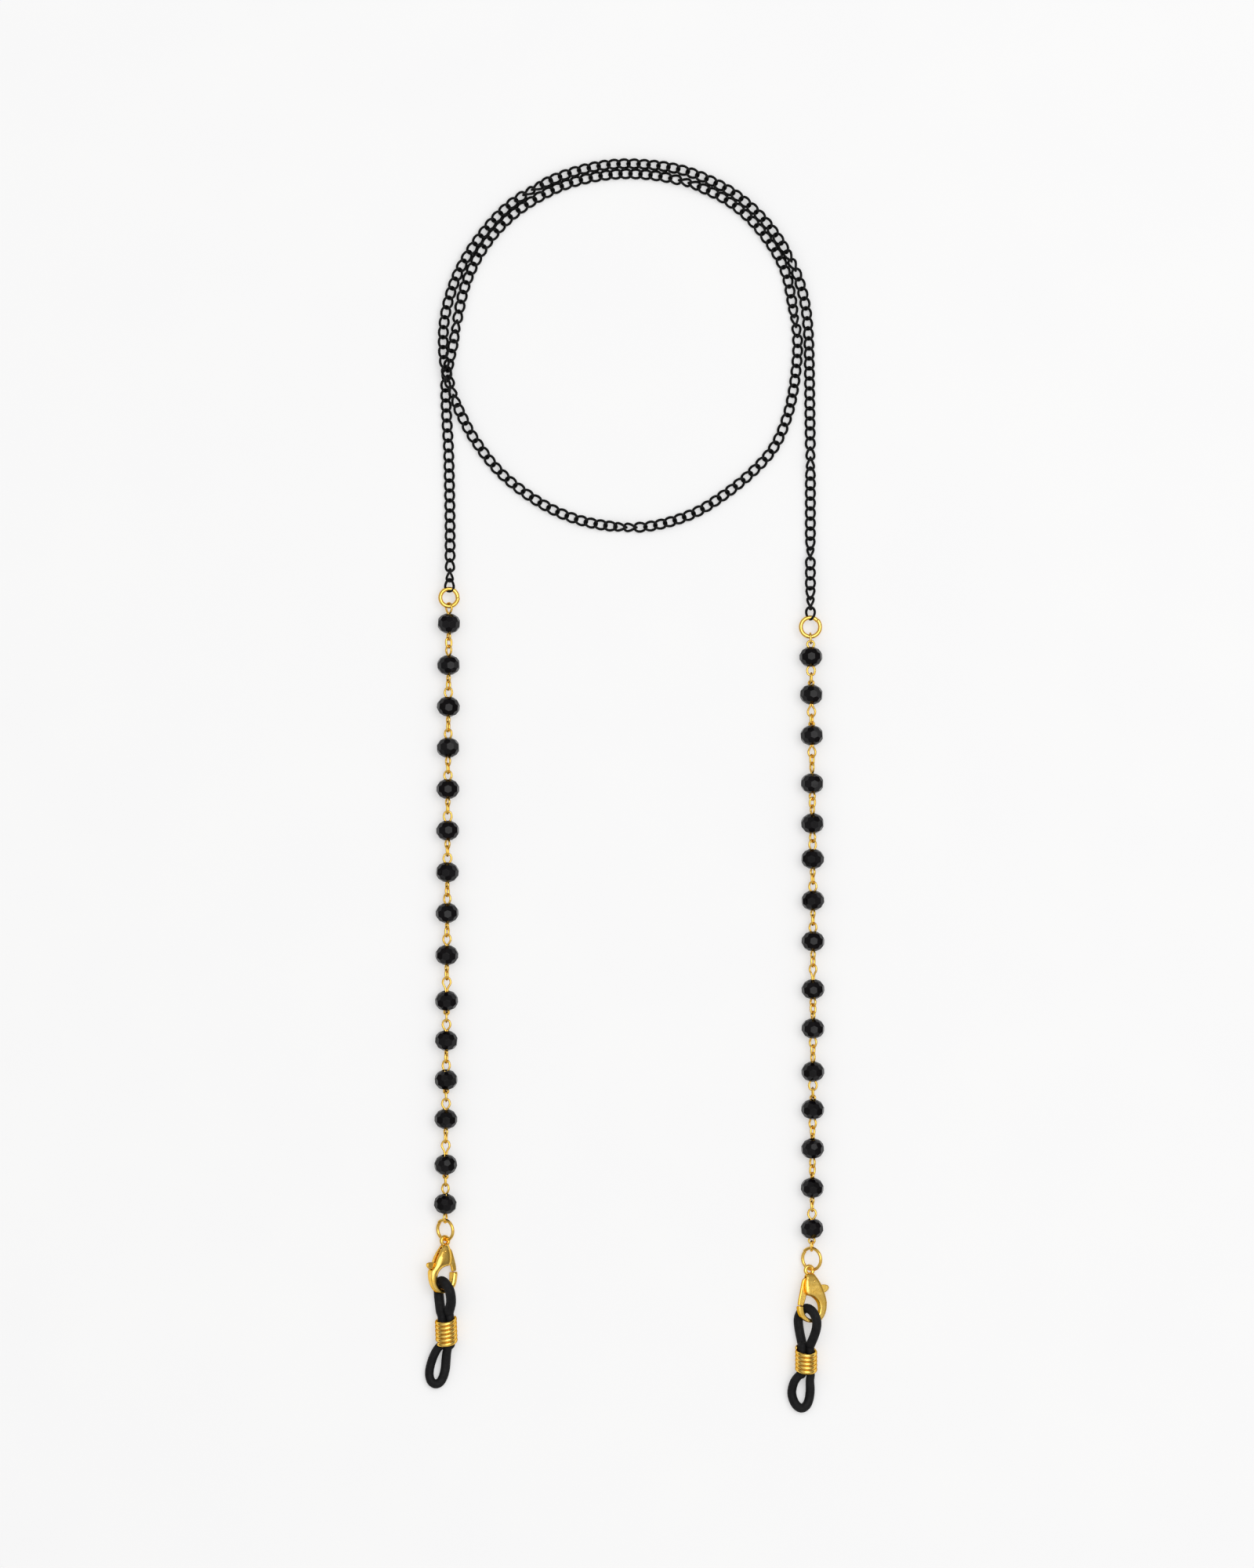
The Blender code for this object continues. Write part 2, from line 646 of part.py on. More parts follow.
def rubber_route(side):
    """Closed centre line of a rubber loop with a radius at every point."""
    place = clasp_matrix(side)
    hook = place @ Vector((*HOOK_CENTRE, 0.0))
    eye = place @ Vector((0.0, 0.0, 0.0))
    coil = coil_centre(side)
    lean = Matrix.Rotation(math.radians(side["coil_turn"]), 3, "Z")
    tail = Matrix.Rotation(math.radians(side["tail_lean"]), 3, "Z")
    points = [Vector((eye.x + x, eye.y + y, z)) for x, y, z in side["hang"]]
    radii = [RUBBER_RADIUS] * len(points)
    half = COIL_GRIP
    for along in (half, 1.0, -1.0, -half):
        across = SQUEEZED_OFFSET
        points.append(coil + lean @ Vector((across, along, 0.0)))
        radii.append(SQUEEZED_RADIUS)
    lower_end = coil + lean @ Vector((0.0, -half, 0.0))
    loop = (
        (1.2, -0.2, 0.8), (1.75, -0.45, 0.9), (1.65, -0.74, 0.9), (0.95, -0.95, 0.9),
        (-0.25, -1.0, 0.9), (-1.3, -0.92, 0.9), (-1.75, -0.7, 0.9), (-1.65, -0.43, 0.9),
        (-1.15, -0.19, 0.8),
    )
    for x, share, radius in loop:
        drop = (0.92 - coil.z) * min(1.0, -2.0 * share)
        points.append(lower_end + tail @ Vector((x, share * side["tail_length"], drop)))
        radii.append(radius)
    for along in (-half, -1.0, 1.0, half):
        points.append(coil + lean @ Vector((-SQUEEZED_OFFSET, along, 0.0)))
        radii.append(SQUEEZED_RADIUS)
    return points, radii, hook


def coil_centre(side):
    """Centre of a coil slider."""
    place = clasp_matrix(side)
    eye = place @ Vector((0.0, 0.0, 0.0))
    height = COIL_RADIUS + COIL_HALF_THICKNESS + 0.05
    return Vector((eye.x + side["coil_shift"], eye.y - side["coil_drop"], height))


def add_rubber(side, material):
    """Rubber loop hung in the clasp hook."""
    points, radii, hook = rubber_route(side)
    shape = tube_mesh(points, radii, 8, True, (0, 0, 1))
    make_object(side["name"] + "_rubber_loop", shape, hook, material, True)


def add_coil(side, material):
    """Wire coil that slides on the rubber loop."""
    centre = coil_centre(side)
    turn = Matrix.Rotation(math.radians(side["coil_turn"]), 3, "Z")
    steps = int(side["coil_turns"] * COIL_SEGMENTS)
    length = side["coil_turns"] * COIL_PITCH
    points = []
    for i in range(steps + 1):
        angle = 2 * math.pi * i / COIL_SEGMENTS
        along = length * (0.5 - i / steps)
        offset = (COIL_RADIUS * math.cos(angle), along, COIL_RADIUS * math.sin(angle))
        points.append(centre + turn @ Vector(offset))
    flatten = COIL_HALF_THICKNESS / COIL_HALF_WIDTH
    shape = tube_mesh(points, COIL_HALF_WIDTH, 6, False, (0, 1, 0), flatten)
    make_object(side["name"] + "_coil_slider", shape, centre, material, True)


def build():
    """Make every piece."""
    clear_scene()
    black_metal = make_material("black_chain", (0.02, 0.02, 0.022), 0.6, 0.45)
    gold = make_material("gold", (0.83, 0.58, 0.18), 1.0, 0.25)
    glass = make_material("black_glass", (0.015, 0.013, 0.018), 0.0, 0.08)
    rubber = make_material("black_rubber", (0.02, 0.02, 0.02), 0.0, 0.7)
    add_chain(black_metal)
    for side in SIDES:
        add_rings(side, gold)
        add_beads(side, glass)
        add_wires(side, gold)
        add_clasp(side, gold)
        add_rubber(side, rubber)
        add_coil(side, gold)


build()
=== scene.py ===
"""Looks of a beaded eyeglass retainer chain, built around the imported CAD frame.

A black curb chain carries two strands of faceted black beads on gold wire
links.  Each strand ends in a jump ring, a gold lobster clasp, a black rubber
loop and a gold wire coil that slides on the loop.  Shapes are worked out in
millimetres in the frame's axes and turned into metres when a mesh is made.
"""
import json
import math

import bmesh
import bpy
import numpy as np
from mathutils import Matrix, Vector

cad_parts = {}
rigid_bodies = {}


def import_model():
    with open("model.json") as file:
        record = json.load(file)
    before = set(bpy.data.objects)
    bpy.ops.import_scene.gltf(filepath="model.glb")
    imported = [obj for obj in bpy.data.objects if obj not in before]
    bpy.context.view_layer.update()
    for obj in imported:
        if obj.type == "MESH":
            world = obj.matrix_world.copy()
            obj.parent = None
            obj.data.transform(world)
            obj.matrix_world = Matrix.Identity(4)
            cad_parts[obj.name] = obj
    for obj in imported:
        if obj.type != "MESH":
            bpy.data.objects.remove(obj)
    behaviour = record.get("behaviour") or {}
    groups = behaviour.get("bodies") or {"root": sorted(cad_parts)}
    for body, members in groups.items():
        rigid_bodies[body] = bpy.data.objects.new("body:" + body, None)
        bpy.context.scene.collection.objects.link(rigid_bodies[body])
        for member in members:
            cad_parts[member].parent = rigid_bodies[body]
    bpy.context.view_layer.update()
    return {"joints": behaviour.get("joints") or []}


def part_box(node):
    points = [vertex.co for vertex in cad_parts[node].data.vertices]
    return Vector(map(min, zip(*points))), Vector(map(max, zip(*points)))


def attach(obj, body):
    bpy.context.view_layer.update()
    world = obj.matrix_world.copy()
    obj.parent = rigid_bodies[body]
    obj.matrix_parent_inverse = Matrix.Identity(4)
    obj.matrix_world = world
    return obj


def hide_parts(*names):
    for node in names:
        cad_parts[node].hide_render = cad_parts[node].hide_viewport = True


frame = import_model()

MM = 0.001
PARENT = {joint["child"]: joint["parent"] for joint in frame["joints"]}
PIVOTS = {joint["child"]: joint.get("pos_m") for joint in frame["joints"]}

# camera and light
CAMERA_AIM = (-0.05, 42.4)
CAMERA_HEIGHT = 2500.0
VIEW_HEIGHT = 307.7
SENSOR = 36.0
FLOOR_SIZE = 4000.0
SOFTBOX_PLACE = (380.0, 240.0, 1500.0)
SOFTBOX_SIZE = 1.2
SOFTBOX_POWER = 8.6
FLOOR_GLOW = 0.345
WORLD_STRENGTH = 1.0

# neck chain: the same route points as the cord's CAD solid, in metres
CHAIN_SHIFT = (0.000034, -0.000127, 0.0)
CHAIN_ROUTE = (
    (-0.0349, 0.0815, 0.00150), (-0.0348, 0.0855, 0.00100), (-0.0348, 0.0930, 0.00092),
    (-0.0349, 0.0998, 0.00092), (-0.0351, 0.1081, 0.00092), (-0.0354, 0.1133, 0.00092),
    (-0.0356, 0.1175, 0.00092), (-0.0356, 0.1216, 0.00092), (-0.0349, 0.1256, 0.00092),
    (-0.0341, 0.1293, 0.00092), (-0.0332, 0.1345, 0.00092), (-0.0319, 0.1401, 0.00092),
    (-0.0296, 0.1455, 0.00092), (-0.0264, 0.1502, 0.00092), (-0.0225, 0.1542, 0.00092),
    (-0.0180, 0.1573, 0.00092), (-0.0129, 0.1598, 0.00092), (-0.0075, 0.1614, 0.00092),
    (-0.0016, 0.1622, 0.00092), (0.0044, 0.1620, 0.00092), (0.0099, 0.1610, 0.00092),
    (0.0150, 0.1593, 0.00092), (0.0199, 0.1568, 0.00092), (0.0241, 0.1534, 0.00092),
    (0.0273, 0.1496, 0.00092), (0.0297, 0.1459, 0.00092), (0.0312, 0.1424, 0.00092),
    (0.0320, 0.1388, 0.00092), (0.0327, 0.1345, 0.00092), (0.0333, 0.1307, 0.00092),
    (0.0334, 0.1275, 0.00092), (0.0331, 0.1237, 0.00092), (0.0325, 0.1194, 0.00092),
    (0.0313, 0.1144, 0.00092), (0.0289, 0.1088, 0.00092), (0.0250, 0.1042, 0.00092),
    (0.0192, 0.0994, 0.00092), (0.0125, 0.0954, 0.00092), (0.0044, 0.0931, 0.00092),
    (-0.0032, 0.0931, 0.00092), (-0.0107, 0.0947, 0.00092), (-0.0178, 0.0981, 0.00092),
    (-0.0248, 0.1035, 0.00095), (-0.0298, 0.1098, 0.00120), (-0.0325, 0.1147, 0.00190),
    (-0.0336, 0.1173, 0.00245), (-0.0345, 0.1199, 0.00295), (-0.0352, 0.1223, 0.00305),
    (-0.0358, 0.1248, 0.00295), (-0.0361, 0.1278, 0.00260), (-0.0360, 0.1326, 0.00210),
    (-0.0350, 0.1377, 0.00170), (-0.0329, 0.1434, 0.00150), (-0.0292, 0.1494, 0.00150),
    (-0.0241, 0.1552, 0.00150), (-0.0181, 0.1594, 0.00150), (-0.0111, 0.1624, 0.00150),
    (-0.0036, 0.1640, 0.00150), (0.0041, 0.1640, 0.00150), (0.0116, 0.1627, 0.00150),
    (0.0186, 0.1597, 0.00160), (0.0233, 0.1565, 0.00170), (0.0275, 0.1523, 0.00170),
    (0.0309, 0.1474, 0.00170), (0.0332, 0.1426, 0.00160), (0.0348, 0.1370, 0.00140),
    (0.0355, 0.1310, 0.00110), (0.0357, 0.1241, 0.00092), (0.0358, 0.1161, 0.00092),
    (0.0359, 0.1072, 0.00092), (0.0359, 0.0979, 0.00092), (0.0359, 0.0887, 0.00092),
    (0.0359, 0.0800, 0.00100), (0.0359, 0.0760, 0.00150),
)
CHAIN_CAD_HEIGHT = 0.92
CHAIN_REST_HEIGHT = 0.76
CHAIN_LIFT_SHARE = 0.55
CHAIN_RISE = 16.0
# rolls of the first and last links, in degrees
START_ROLLS = (18, 64, 30, 6)
END_ROLLS = (30, 66, 14, 10, 4, 38, 64, 16)
LINK_PITCH = 1.965
LINK_REACH = 1.2
LINK_HALF_WIDTH = 0.86
LINK_WIRE = 0.265
LINK_TWIST = 45.0
LINK_ROLL_LIFT = 0.42
LINK_FULLNESS = 0.82
LINK_SIDES = 8
LINK_LOOK = 0.9
# slow wander of the links' roll: size in degrees, rate along the chain, phase
LINK_WANDER = ((7, 41, 0), (5, 97, 1), (4, 211, 2))
# places along the chain, as shares of its length, where it stands on edge
EDGE_ON_PLACES = (0.118, 0.262, 0.347, 0.486, 0.592, 0.701, 0.838, 0.93)
EDGE_ON_ROLL = 52
EDGE_ON_REACH = 1.3

# strands
STRAND_WIRE = 0.21
STRAND_WIRE_SIDES = 12
# how far the middle lines of two hooked wires pass each other
HOOKED = 0.41
END_LINK_TURN = 88.0
CONNECTOR_HALF_LENGTH = 0.95
CONNECTOR_HALF_WIDTH = 0.57
LOOP_HALF_WIDTH = 0.75
LOOP_LENGTH = 1.95
CONNECTOR_LEAN = 0.05
WIRE_IN_HOLE = 0.21

# One entry per gap below a bead: reach of the upper loop, its turn about the
# strand, the connector's turn (None where the loops hook each other directly)
# and the lower loop's turn, in degrees.
LEFT_GAPS = (
    (1.35, 68, -25, 50), (1.50, 70, -58, 20), (1.50, 70, -68, 30), (1.65, 58, -74, 18),
    (1.45, 62, -76, 4), (1.60, 58, -76, 4), (1.35, 70, -62, 35), (1.25, 72, -57, 22),
    (1.45, 70, -68, 8), (0.80, 35, 88, 14), (1.00, 72, -70, 22), (0.80, 40, 86, 8),
    (1.30, 66, -74, 10), (0.80, 40, 84, 34),
)
RIGHT_GAPS = (
    (1.75, 4, 80, 35), (2.44, 22, -68, 30), (2.36, 28, -52, 66), (1.35, 46, -26, 66),
    (1.80, 50, None, -32), (1.55, 62, -70, 24), (1.45, 64, -74, 30), (1.60, 64, -58, 34),
    (1.45, 50, -36, 68), (1.80, 36, -58, 66), (1.75, 10, 84, 40), (1.85, 36, -52, 68),
    (1.80, 54, -36, 72), (1.20, 66, -74, 8),
)
# One entry per bead: spin about the strand, tip toward the viewer, lean.
LEFT_BEADS = (
    (3, 6, -4), (-5, 2, 3), (22, 4, -6), (-4, -8, 2), (20, 0, 0), (24, -3, 2), (10, 4, -5),
    (22, 6, 3), (14, 8, -3), (19, 16, 5), (-4, 10, -6), (26, 18, 4), (21, 8, -2),
    (12, 20, 8), (-6, 18, -7),
)
RIGHT_BEADS = (
    (21, -4, 3), (-6, -6, -5), (-4, -5, 4), (-5, 4, -2), (-8, 8, 5), (9, 3, -3), (8, 5, 3),
    (-14, -2, -4), (20, 6, 5), (24, 6, -3), (17, 10, 3), (22, 14, -4), (10, 18, 3),
    (24, 12, -4), (6, 16, 5),
)

# faceted bead: tilt, distance and phase of each family of cuts
BEAD_LENGTH = 3.74
BEAD_CUTS = ((0.0, 2.13, 0.0), (34.0, 2.11, 0.5), (62.0, 2.03, 0.0))
BEAD_CUT_COUNT = 10
BEAD_BLANK = (1.4, 1.02, 1.4)
BEAD_EDGE = 0.022
HOLE_RADIUS = 0.5
HOLE_HALF_LENGTH = 2.6

# jump rings: half the gap at the split in degrees, how far its ends are out of line
RING_OPENING = 3.5
RING_SPREAD = 0.05
RING_SLIP = 0.07

# One table per strand.  Rings and turns are in degrees and millimetres.  The
# lever's outline is in the clasp's own frame.  The rubber's points are its
# centre line: "hang" from the clasp's eye with heights above the floor, "tail"
# below the coil with the rubber's radius.

LEFT = {
    "name": "left",
    "gaps": LEFT_GAPS,
    "beads": LEFT_BEADS,
    "end_links": False,
    "first_loop_turn": 43.0,
    "last_turn": -70.0,
    "upper_ring": {
        "radius": 1.70, "wire": 0.41, "drop": 0.0, "roll": 0.0, "lean": 0.0, "split": -5.0,
    },
    "lower_ring": {
        "radius": 1.97, "wire": 0.31, "drop": 0.35, "roll": -41.0, "lean": 11.0, "split": 128.0,
    },
    "pivot": (-0.5, -2.1),
    "seam": -6.05,
    "spine": 0.38,
    "lever": (
        (-2.3, -4.2), (-3.2, -4.2), (-3.9, -4.35), (-4.15, -4.75), (-3.95, -5.2), (-3.3, -5.6),
        (-2.4, -5.5), (-1.3, -4.5), (0.4, -4.3), (1.15, -4.55), (1.5, -5.3), (1.65, -6.0),
        (2.0, -5.88), (2.4, -5.8), (2.35, -4.9), (2.1, -3.9), (1.7, -2.6), (1.2, -1.6),
        (0.3, -1.35), (-0.5, -1.5), (-0.9, -2.3), (-1.45, -3.3),
    ),
    "clasp_roll": 32.0,
    "rubber": 0.98,
    "hang": (
        (-0.8, -13.9, 1.6), (-1.05, -12.2, 1.05), (-1.2, -10.7, 1.0), (-1.25, -9.5, 1.0),
        (-1.15, -8.7, 1.35), (-0.95, -8.1, 2.05), (-0.6, -7.85, 2.9), (0.0, -8.2, 3.6),
        (0.75, -9.2, 3.9), (1.15, -10.6, 3.8), (1.2, -12.2, 3.2), (0.82, -13.9, 2.4),
    ),
    "coil_turns": 5.45,
    "coil_start": -0.05,
    "coil_skew": 0.08,
    "coil_shift": (0.0, -0.45),
    "coil_turn": 2.0,
    "tail": (
        (0.45, -0.2, 0.84), (0.12, -1.5, 0.88), (-0.05, -3.0, 0.92), (-0.2, -4.7, 0.92),
        (-0.6, -6.3, 0.9), (-1.25, -7.4, 0.9), (-2.1, -7.75, 0.9), (-2.9, -7.3, 0.88),
        (-3.3, -6.2, 0.86), (-3.25, -4.8, 0.86), (-2.7, -2.8, 0.86), (-1.9, -1.1, 0.84),
        (-1.15, -0.2, 0.82),
    ),
}
RIGHT = {
    "name": "right",
    "gaps": RIGHT_GAPS,
    "beads": RIGHT_BEADS,
    "end_links": True,
    "first_loop_turn": 0.0,
    "last_turn": -74.0,
    "upper_ring": {
        "radius": 1.88, "wire": 0.41, "drop": 0.0, "roll": 0.0, "lean": 0.0, "split": 42.0,
    },
    "lower_ring": {
        "radius": 2.13, "wire": 0.31, "drop": 0.19, "roll": -35.0, "lean": 9.0, "split": 130.0,
    },
    "pivot": (-0.7, -2.15),
    "seam": -7.05,
    "spine": 0.0,
    "lever": (
        (-2.3, -2.8), (-3.0, -2.75), (-3.7, -2.85), (-4.1, -3.3), (-3.9, -3.85), (-3.3, -4.3),
        (-2.5, -4.5), (-1.2, -4.4), (0.2, -4.5), (0.7, -5.0), (0.95, -5.9), (1.4, -7.0),
        (1.9, -6.9), (2.36, -6.8), (2.2, -5.6), (1.95, -4.5), (1.7, -3.2), (1.3, -1.8),
        (0.3, -1.35), (-0.8, -1.4), (-1.4, -1.9), (-1.8, -2.4),
    ),
    "clasp_roll": 202.0,
    "rubber": 0.92,
    "hang": (
        (-1.35, -14.6, 1.6), (-1.75, -12.7, 1.05), (-2.05, -10.9, 0.95), (-2.1, -9.6, 0.98),
        (-1.75, -8.5, 1.35), (-1.2, -7.75, 1.95), (-0.5, -7.45, 2.65), (0.3, -7.75, 3.25),
        (1.0, -8.6, 3.7), (1.45, -9.9, 3.8), (1.4, -11.3, 3.6), (0.95, -12.9, 3.05),
        (0.25, -14.6, 2.4),
    ),
    "coil_turns": 5.2,
    "coil_start": 0.5,
    "coil_skew": -0.28,
    "coil_shift": (-0.3, 0.2),
    "coil_turn": 0.0,
    "tail": (
        (0.9, -0.2, 0.82), (0.75, -1.3, 0.85), (0.8, -3.2, 0.9), (0.6, -4.9, 0.9),
        (0.1, -6.15, 0.9), (-0.8, -6.75, 0.9), (-1.8, -6.3, 0.9), (-2.55, -5.0, 0.9),
        (-2.8, -3.4, 0.88), (-2.3, -1.5, 0.86), (-1.3, -0.2, 0.82),
    ),
}

# clasps, in a clasp's own frame: eye centre at the origin, hook toward -Y
CLASP_PITCH = -2.8
EYE_RADIUS = 0.79
EYE_WIRE = 0.37
CLASP_VOXEL = 0.06
BODY_START = (
    (0.55, -0.75), (0.9, -1.5), (1.12, -2.4), (1.18, -3.4), (1.02, -4.3), (0.6, -4.85),
    (0.0, -5.0), (-0.7, -5.25), (-1.3, -5.7), (-1.75, -6.3), (-1.95, -7.0), (-2.0, -7.7),
    (-1.88, -8.4), (-1.5, -9.0), (-0.95, -9.4), (-0.3, -9.5), (0.4, -9.3), (1.0, -8.75),
    (1.3, -8.1),
)
BODY_REST = (
    (2.42, -8.1), (2.1, -8.9), (1.5, -9.6), (0.6, -10.1), (-0.4, -10.3), (-1.4, -10.25),
    (-2.3, -9.85), (-3.0, -9.0), (-3.35, -8.0), (-3.48, -7.0), (-3.4, -6.0),
)
BODY_SPINE = (
    (-3.1, -5.0), (-2.72, -4.0), (-2.2, -2.8), (-1.55, -1.7), (-1.05, -0.95), (-0.65, -0.65),
)
# half thickness at each level along the clasp
BODY_THICKNESS = (
    (-10.4, 0.55), (-9.0, 0.62), (-7.5, 0.8), (-6.0, 1.0), (-4.8, 1.2), (-3.2, 1.25),
    (-2.2, 1.12), (-1.3, 0.9), (-0.5, 0.6),
)
# rim height as a share of the thickness, and how far in the rounding reaches
BODY_FRONT = (0.5, 1.1)
BODY_BACK = (0.82, 0.5)
BODY_GRID = 0.055
BODY_SKIN = 0.01
SLOT = ((-4.5, 4.5), (-5.75, -1.25), (-0.42, 0.42))
LEVER_HALF_DEPTH = 0.34
PIN_RADIUS = 0.3
PIN_HALF_LENGTH = 0.95
SPRING_TOP = (-0.98, -1.62, 0.0)
SPRING_END = (-1.24, -2.52, 0.0)
SPRING_RADIUS = 0.26
SPRING_WIRE = 0.07
SPRING_TURNS = 3
SPRING_STEPS = 16

# rubber loops and coils
SQUEEZED_RADIUS = 0.82
SQUEEZED_OFFSET = 0.8
COIL_GRIP = 2.75
TAIL_FALL = 4.2
COIL_OUTER = 2.17
COIL_HALF_WIDTH = 0.4
COIL_HALF_THICKNESS = 0.27
COIL_PITCH = 0.8
COIL_SLANT = 0.62
COIL_STEPS = 48
FLOOR_GAP = 0.03


# ---------------------------------------------------------------- shapes

def centre_of(node):
    """Middle of a CAD node at rest, in millimetres."""
    low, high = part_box(node)
    return (Vector(low) + Vector(high)) / 2 / MM


def smooth_route(points, per_span, closed=False):
    """Catmull-Rom curve through the given points, as an array."""
    pts = np.array(points, dtype=float)
    if closed:
        pts = np.vstack([pts[-1:], pts, pts[:2]])
    else:
        pts = np.vstack([2 * pts[:1] - pts[1:2], pts, 2 * pts[-1:] - pts[-2:-1]])
    t = np.arange(per_span)[:, None] / per_span
    spans = []
    for p0, p1, p2, p3 in zip(pts, pts[1:], pts[2:], pts[3:]):
        spans.append(0.5 * (
            2 * p1 + (p2 - p0) * t
            + (2 * p0 - 5 * p1 + 4 * p2 - p3) * t ** 2
            + (3 * p1 - p0 - 3 * p2 + p3) * t ** 3
        ))
    if not closed:
        spans.append(pts[-2:-1])
    return np.vstack(spans)


def along(curve):
    """Distance of each point of a polyline from its start."""
    steps = np.linalg.norm(np.diff(curve, axis=0), axis=1)
    return np.concatenate([[0.0], np.cumsum(steps)])


def points_at(curve, places):
    """Points of a polyline at the given distances from its start."""
    distance = along(curve)
    return np.stack([np.interp(places, distance, curve[:, k]) for k in range(3)], axis=1)


def unit(vectors):
    """Vectors scaled to length one."""
    return vectors / np.linalg.norm(vectors, axis=-1, keepdims=True)


def round_ends(points, radii):
    """Extra points that close both ends of an open tube with a dome."""
    first = unit(points[0] - points[1])
    last = unit(points[-1] - points[-2])
    shares = np.array([0.98, 0.85, 0.6, 0.3])
    sizes = np.sqrt(1 - shares ** 2)
    head = points[0] + first * (shares * radii[0])[:, None]
    tail = points[-1] + last * (shares[::-1] * radii[-1])[:, None]
    points = np.vstack([head, points, tail])
    radii = np.concatenate([sizes * radii[0], radii, sizes[::-1] * radii[-1]])
    return points, radii


def section_axes(tangents, normal, steady):
    """Two axes of the section at each point of a path.

    A steady section is kept square to the normal; otherwise it is carried
    along the path without turning about it.
    """
    fixed = np.array(normal, dtype=float)
    side = fixed
    sides_at = []
    for tangent in tangents:
        start = fixed if steady else side
        side = unit(start - start.dot(tangent) * tangent)
        sides_at.append(side)
    sides_at = np.array(sides_at)
    return sides_at, np.cross(tangents, sides_at)


def closing_twist(tangents, sides_at, others):
    """Turn that the carried section has picked up after once round a closed path."""
    back = unit(sides_at[-1] - sides_at[-1].dot(tangents[0]) * tangents[0])
    return math.atan2(back.dot(others[0]), back.dot(sides_at[0]))


def tube_faces(count, sides, closed):
    """Faces of a tube with a ring of vertices at each point of its path."""
    i = np.arange(count if closed else count - 1)[:, None]
    k = np.arange(sides)[None, :]
    j = (i + 1) % count
    m = (k + 1) % sides
    quads = np.stack([i * sides + k, i * sides + m, j * sides + m, j * sides + k], axis=-1)
    faces = quads.reshape(-1, 4).tolist()
    if not closed:
        faces.append(list(range(sides))[::-1])
        faces.append([(count - 1) * sides + n for n in range(sides)])
    return faces


def tube(points, radii, sides, closed=False, normal=(0, 0, 1), flatten=1.0, steady=False):
    """Sweep a round or flattened section along a path."""
    points = np.array(points, dtype=float)
    radii = np.broadcast_to(np.array(radii, dtype=float), len(points)).copy()
    if closed:
        tangents = unit(np.roll(points, -1, axis=0) - np.roll(points, 1, axis=0))
    else:
        points, radii = round_ends(points, radii)
        tangents = unit(np.gradient(points, axis=0))
    count = len(points)
    sides_at, others = section_axes(tangents, normal, steady)
    twist = closing_twist(tangents, sides_at, others) if closed else 0.0
    ring = 2 * math.pi * np.arange(sides) / sides
    angles = ring[None, :] - twist * np.arange(count)[:, None] / count
    verts = (
        points[:, None, :]
        + radii[:, None, None] * np.cos(angles)[:, :, None] * sides_at[:, None, :]
        + flatten * radii[:, None, None] * np.sin(angles)[:, :, None] * others[:, None, :]
    )
    return verts.reshape(-1, 3), tube_faces(count, sides, closed)


def joined(shapes):
    """Several shapes as one."""
    verts = []
    faces = []
    shift = 0
    for part_verts, part_faces in shapes:
        verts.append(part_verts)
        faces.extend([[n + shift for n in face] for face in part_faces])
        shift += len(part_verts)
    return np.vstack(verts), faces


def mesh_from(name, shape, scale):
    """Blender mesh of a shape, with its faces turned outward."""
    verts, faces = shape
    mesh = bpy.data.meshes.new(name)
    mesh.from_pydata((np.array(verts) * scale).tolist(), [], faces)
    work = bmesh.new()
    work.from_mesh(mesh)
    bmesh.ops.recalc_face_normals(work, faces=work.faces)
    work.to_mesh(mesh)
    work.free()
    return mesh


def add_piece(name, mesh, material, body, node, smooth=True):
    """Show a mesh as a piece that rides on a body and stands for a CAD node."""
    piece = bpy.data.objects.new(name, mesh)
    bpy.context.scene.collection.objects.link(piece)
    mesh.materials.clear()
    mesh.materials.append(material)
    mesh.polygons.foreach_set("use_smooth", [smooth] * len(mesh.polygons))
    mesh.update()
    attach(piece, body)
    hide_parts(node)
    return piece


def add_shape(name, shape, material, body, node):
    """Show a shape given in millimetres."""
    return add_piece(name, mesh_from(name, shape, MM), material, body, node)


# ---------------------------------------------------------------- materials

def new_material(name, colour, metallic, roughness):
    """Principled material and its node tree."""
    material = bpy.data.materials.new(name)
    material.use_nodes = True
    tree = material.node_tree
    shader = tree.nodes["Principled BSDF"]
    shader.inputs["Base Color"].default_value = (*colour, 1.0)
    shader.inputs["Metallic"].default_value = metallic
    shader.inputs["Roughness"].default_value = roughness
    return material, tree, shader


def noise(tree, scale, detail):
    """Noise over the object's own coordinates; scale is per metre."""
    place = tree.nodes.new("ShaderNodeTexCoord")
    texture = tree.nodes.new("ShaderNodeTexNoise")
    texture.inputs["Scale"].default_value = scale
    texture.inputs["Detail"].default_value = detail
    tree.links.new(place.outputs["Object"], texture.inputs["Vector"])
    return texture.outputs["Fac"]


def ramp(tree, source, stops):
    """Colour ramp over a grey source; the first two stops are the lowest and the highest."""
    node = tree.nodes.new("ShaderNodeValToRGB")
    elements = node.color_ramp.elements
    for element, (place, colour) in zip(elements, stops):
        element.position = place
        element.color = (*colour, 1.0)
    for place, colour in stops[2:]:
        elements.new(place).color = (*colour, 1.0)
    tree.links.new(source, node.inputs["Fac"])
    return node.outputs["Color"]


def spread(tree, source, low, high):
    """Map the middle of a noise to a range."""
    node = tree.nodes.new("ShaderNodeMapRange")
    node.inputs["From Min"].default_value = 0.3
    node.inputs["From Max"].default_value = 0.7
    node.inputs["To Min"].default_value = low
    node.inputs["To Max"].default_value = high
    tree.links.new(source, node.inputs["Value"])
    return node.outputs["Result"]


def bump(tree, shader, source, strength, distance):
    """Small surface relief."""
    node = tree.nodes.new("ShaderNodeBump")
    node.inputs["Strength"].default_value = strength
    node.inputs["Distance"].default_value = distance
    tree.links.new(source, node.inputs["Height"])
    tree.links.new(node.outputs["Normal"], shader.inputs["Normal"])


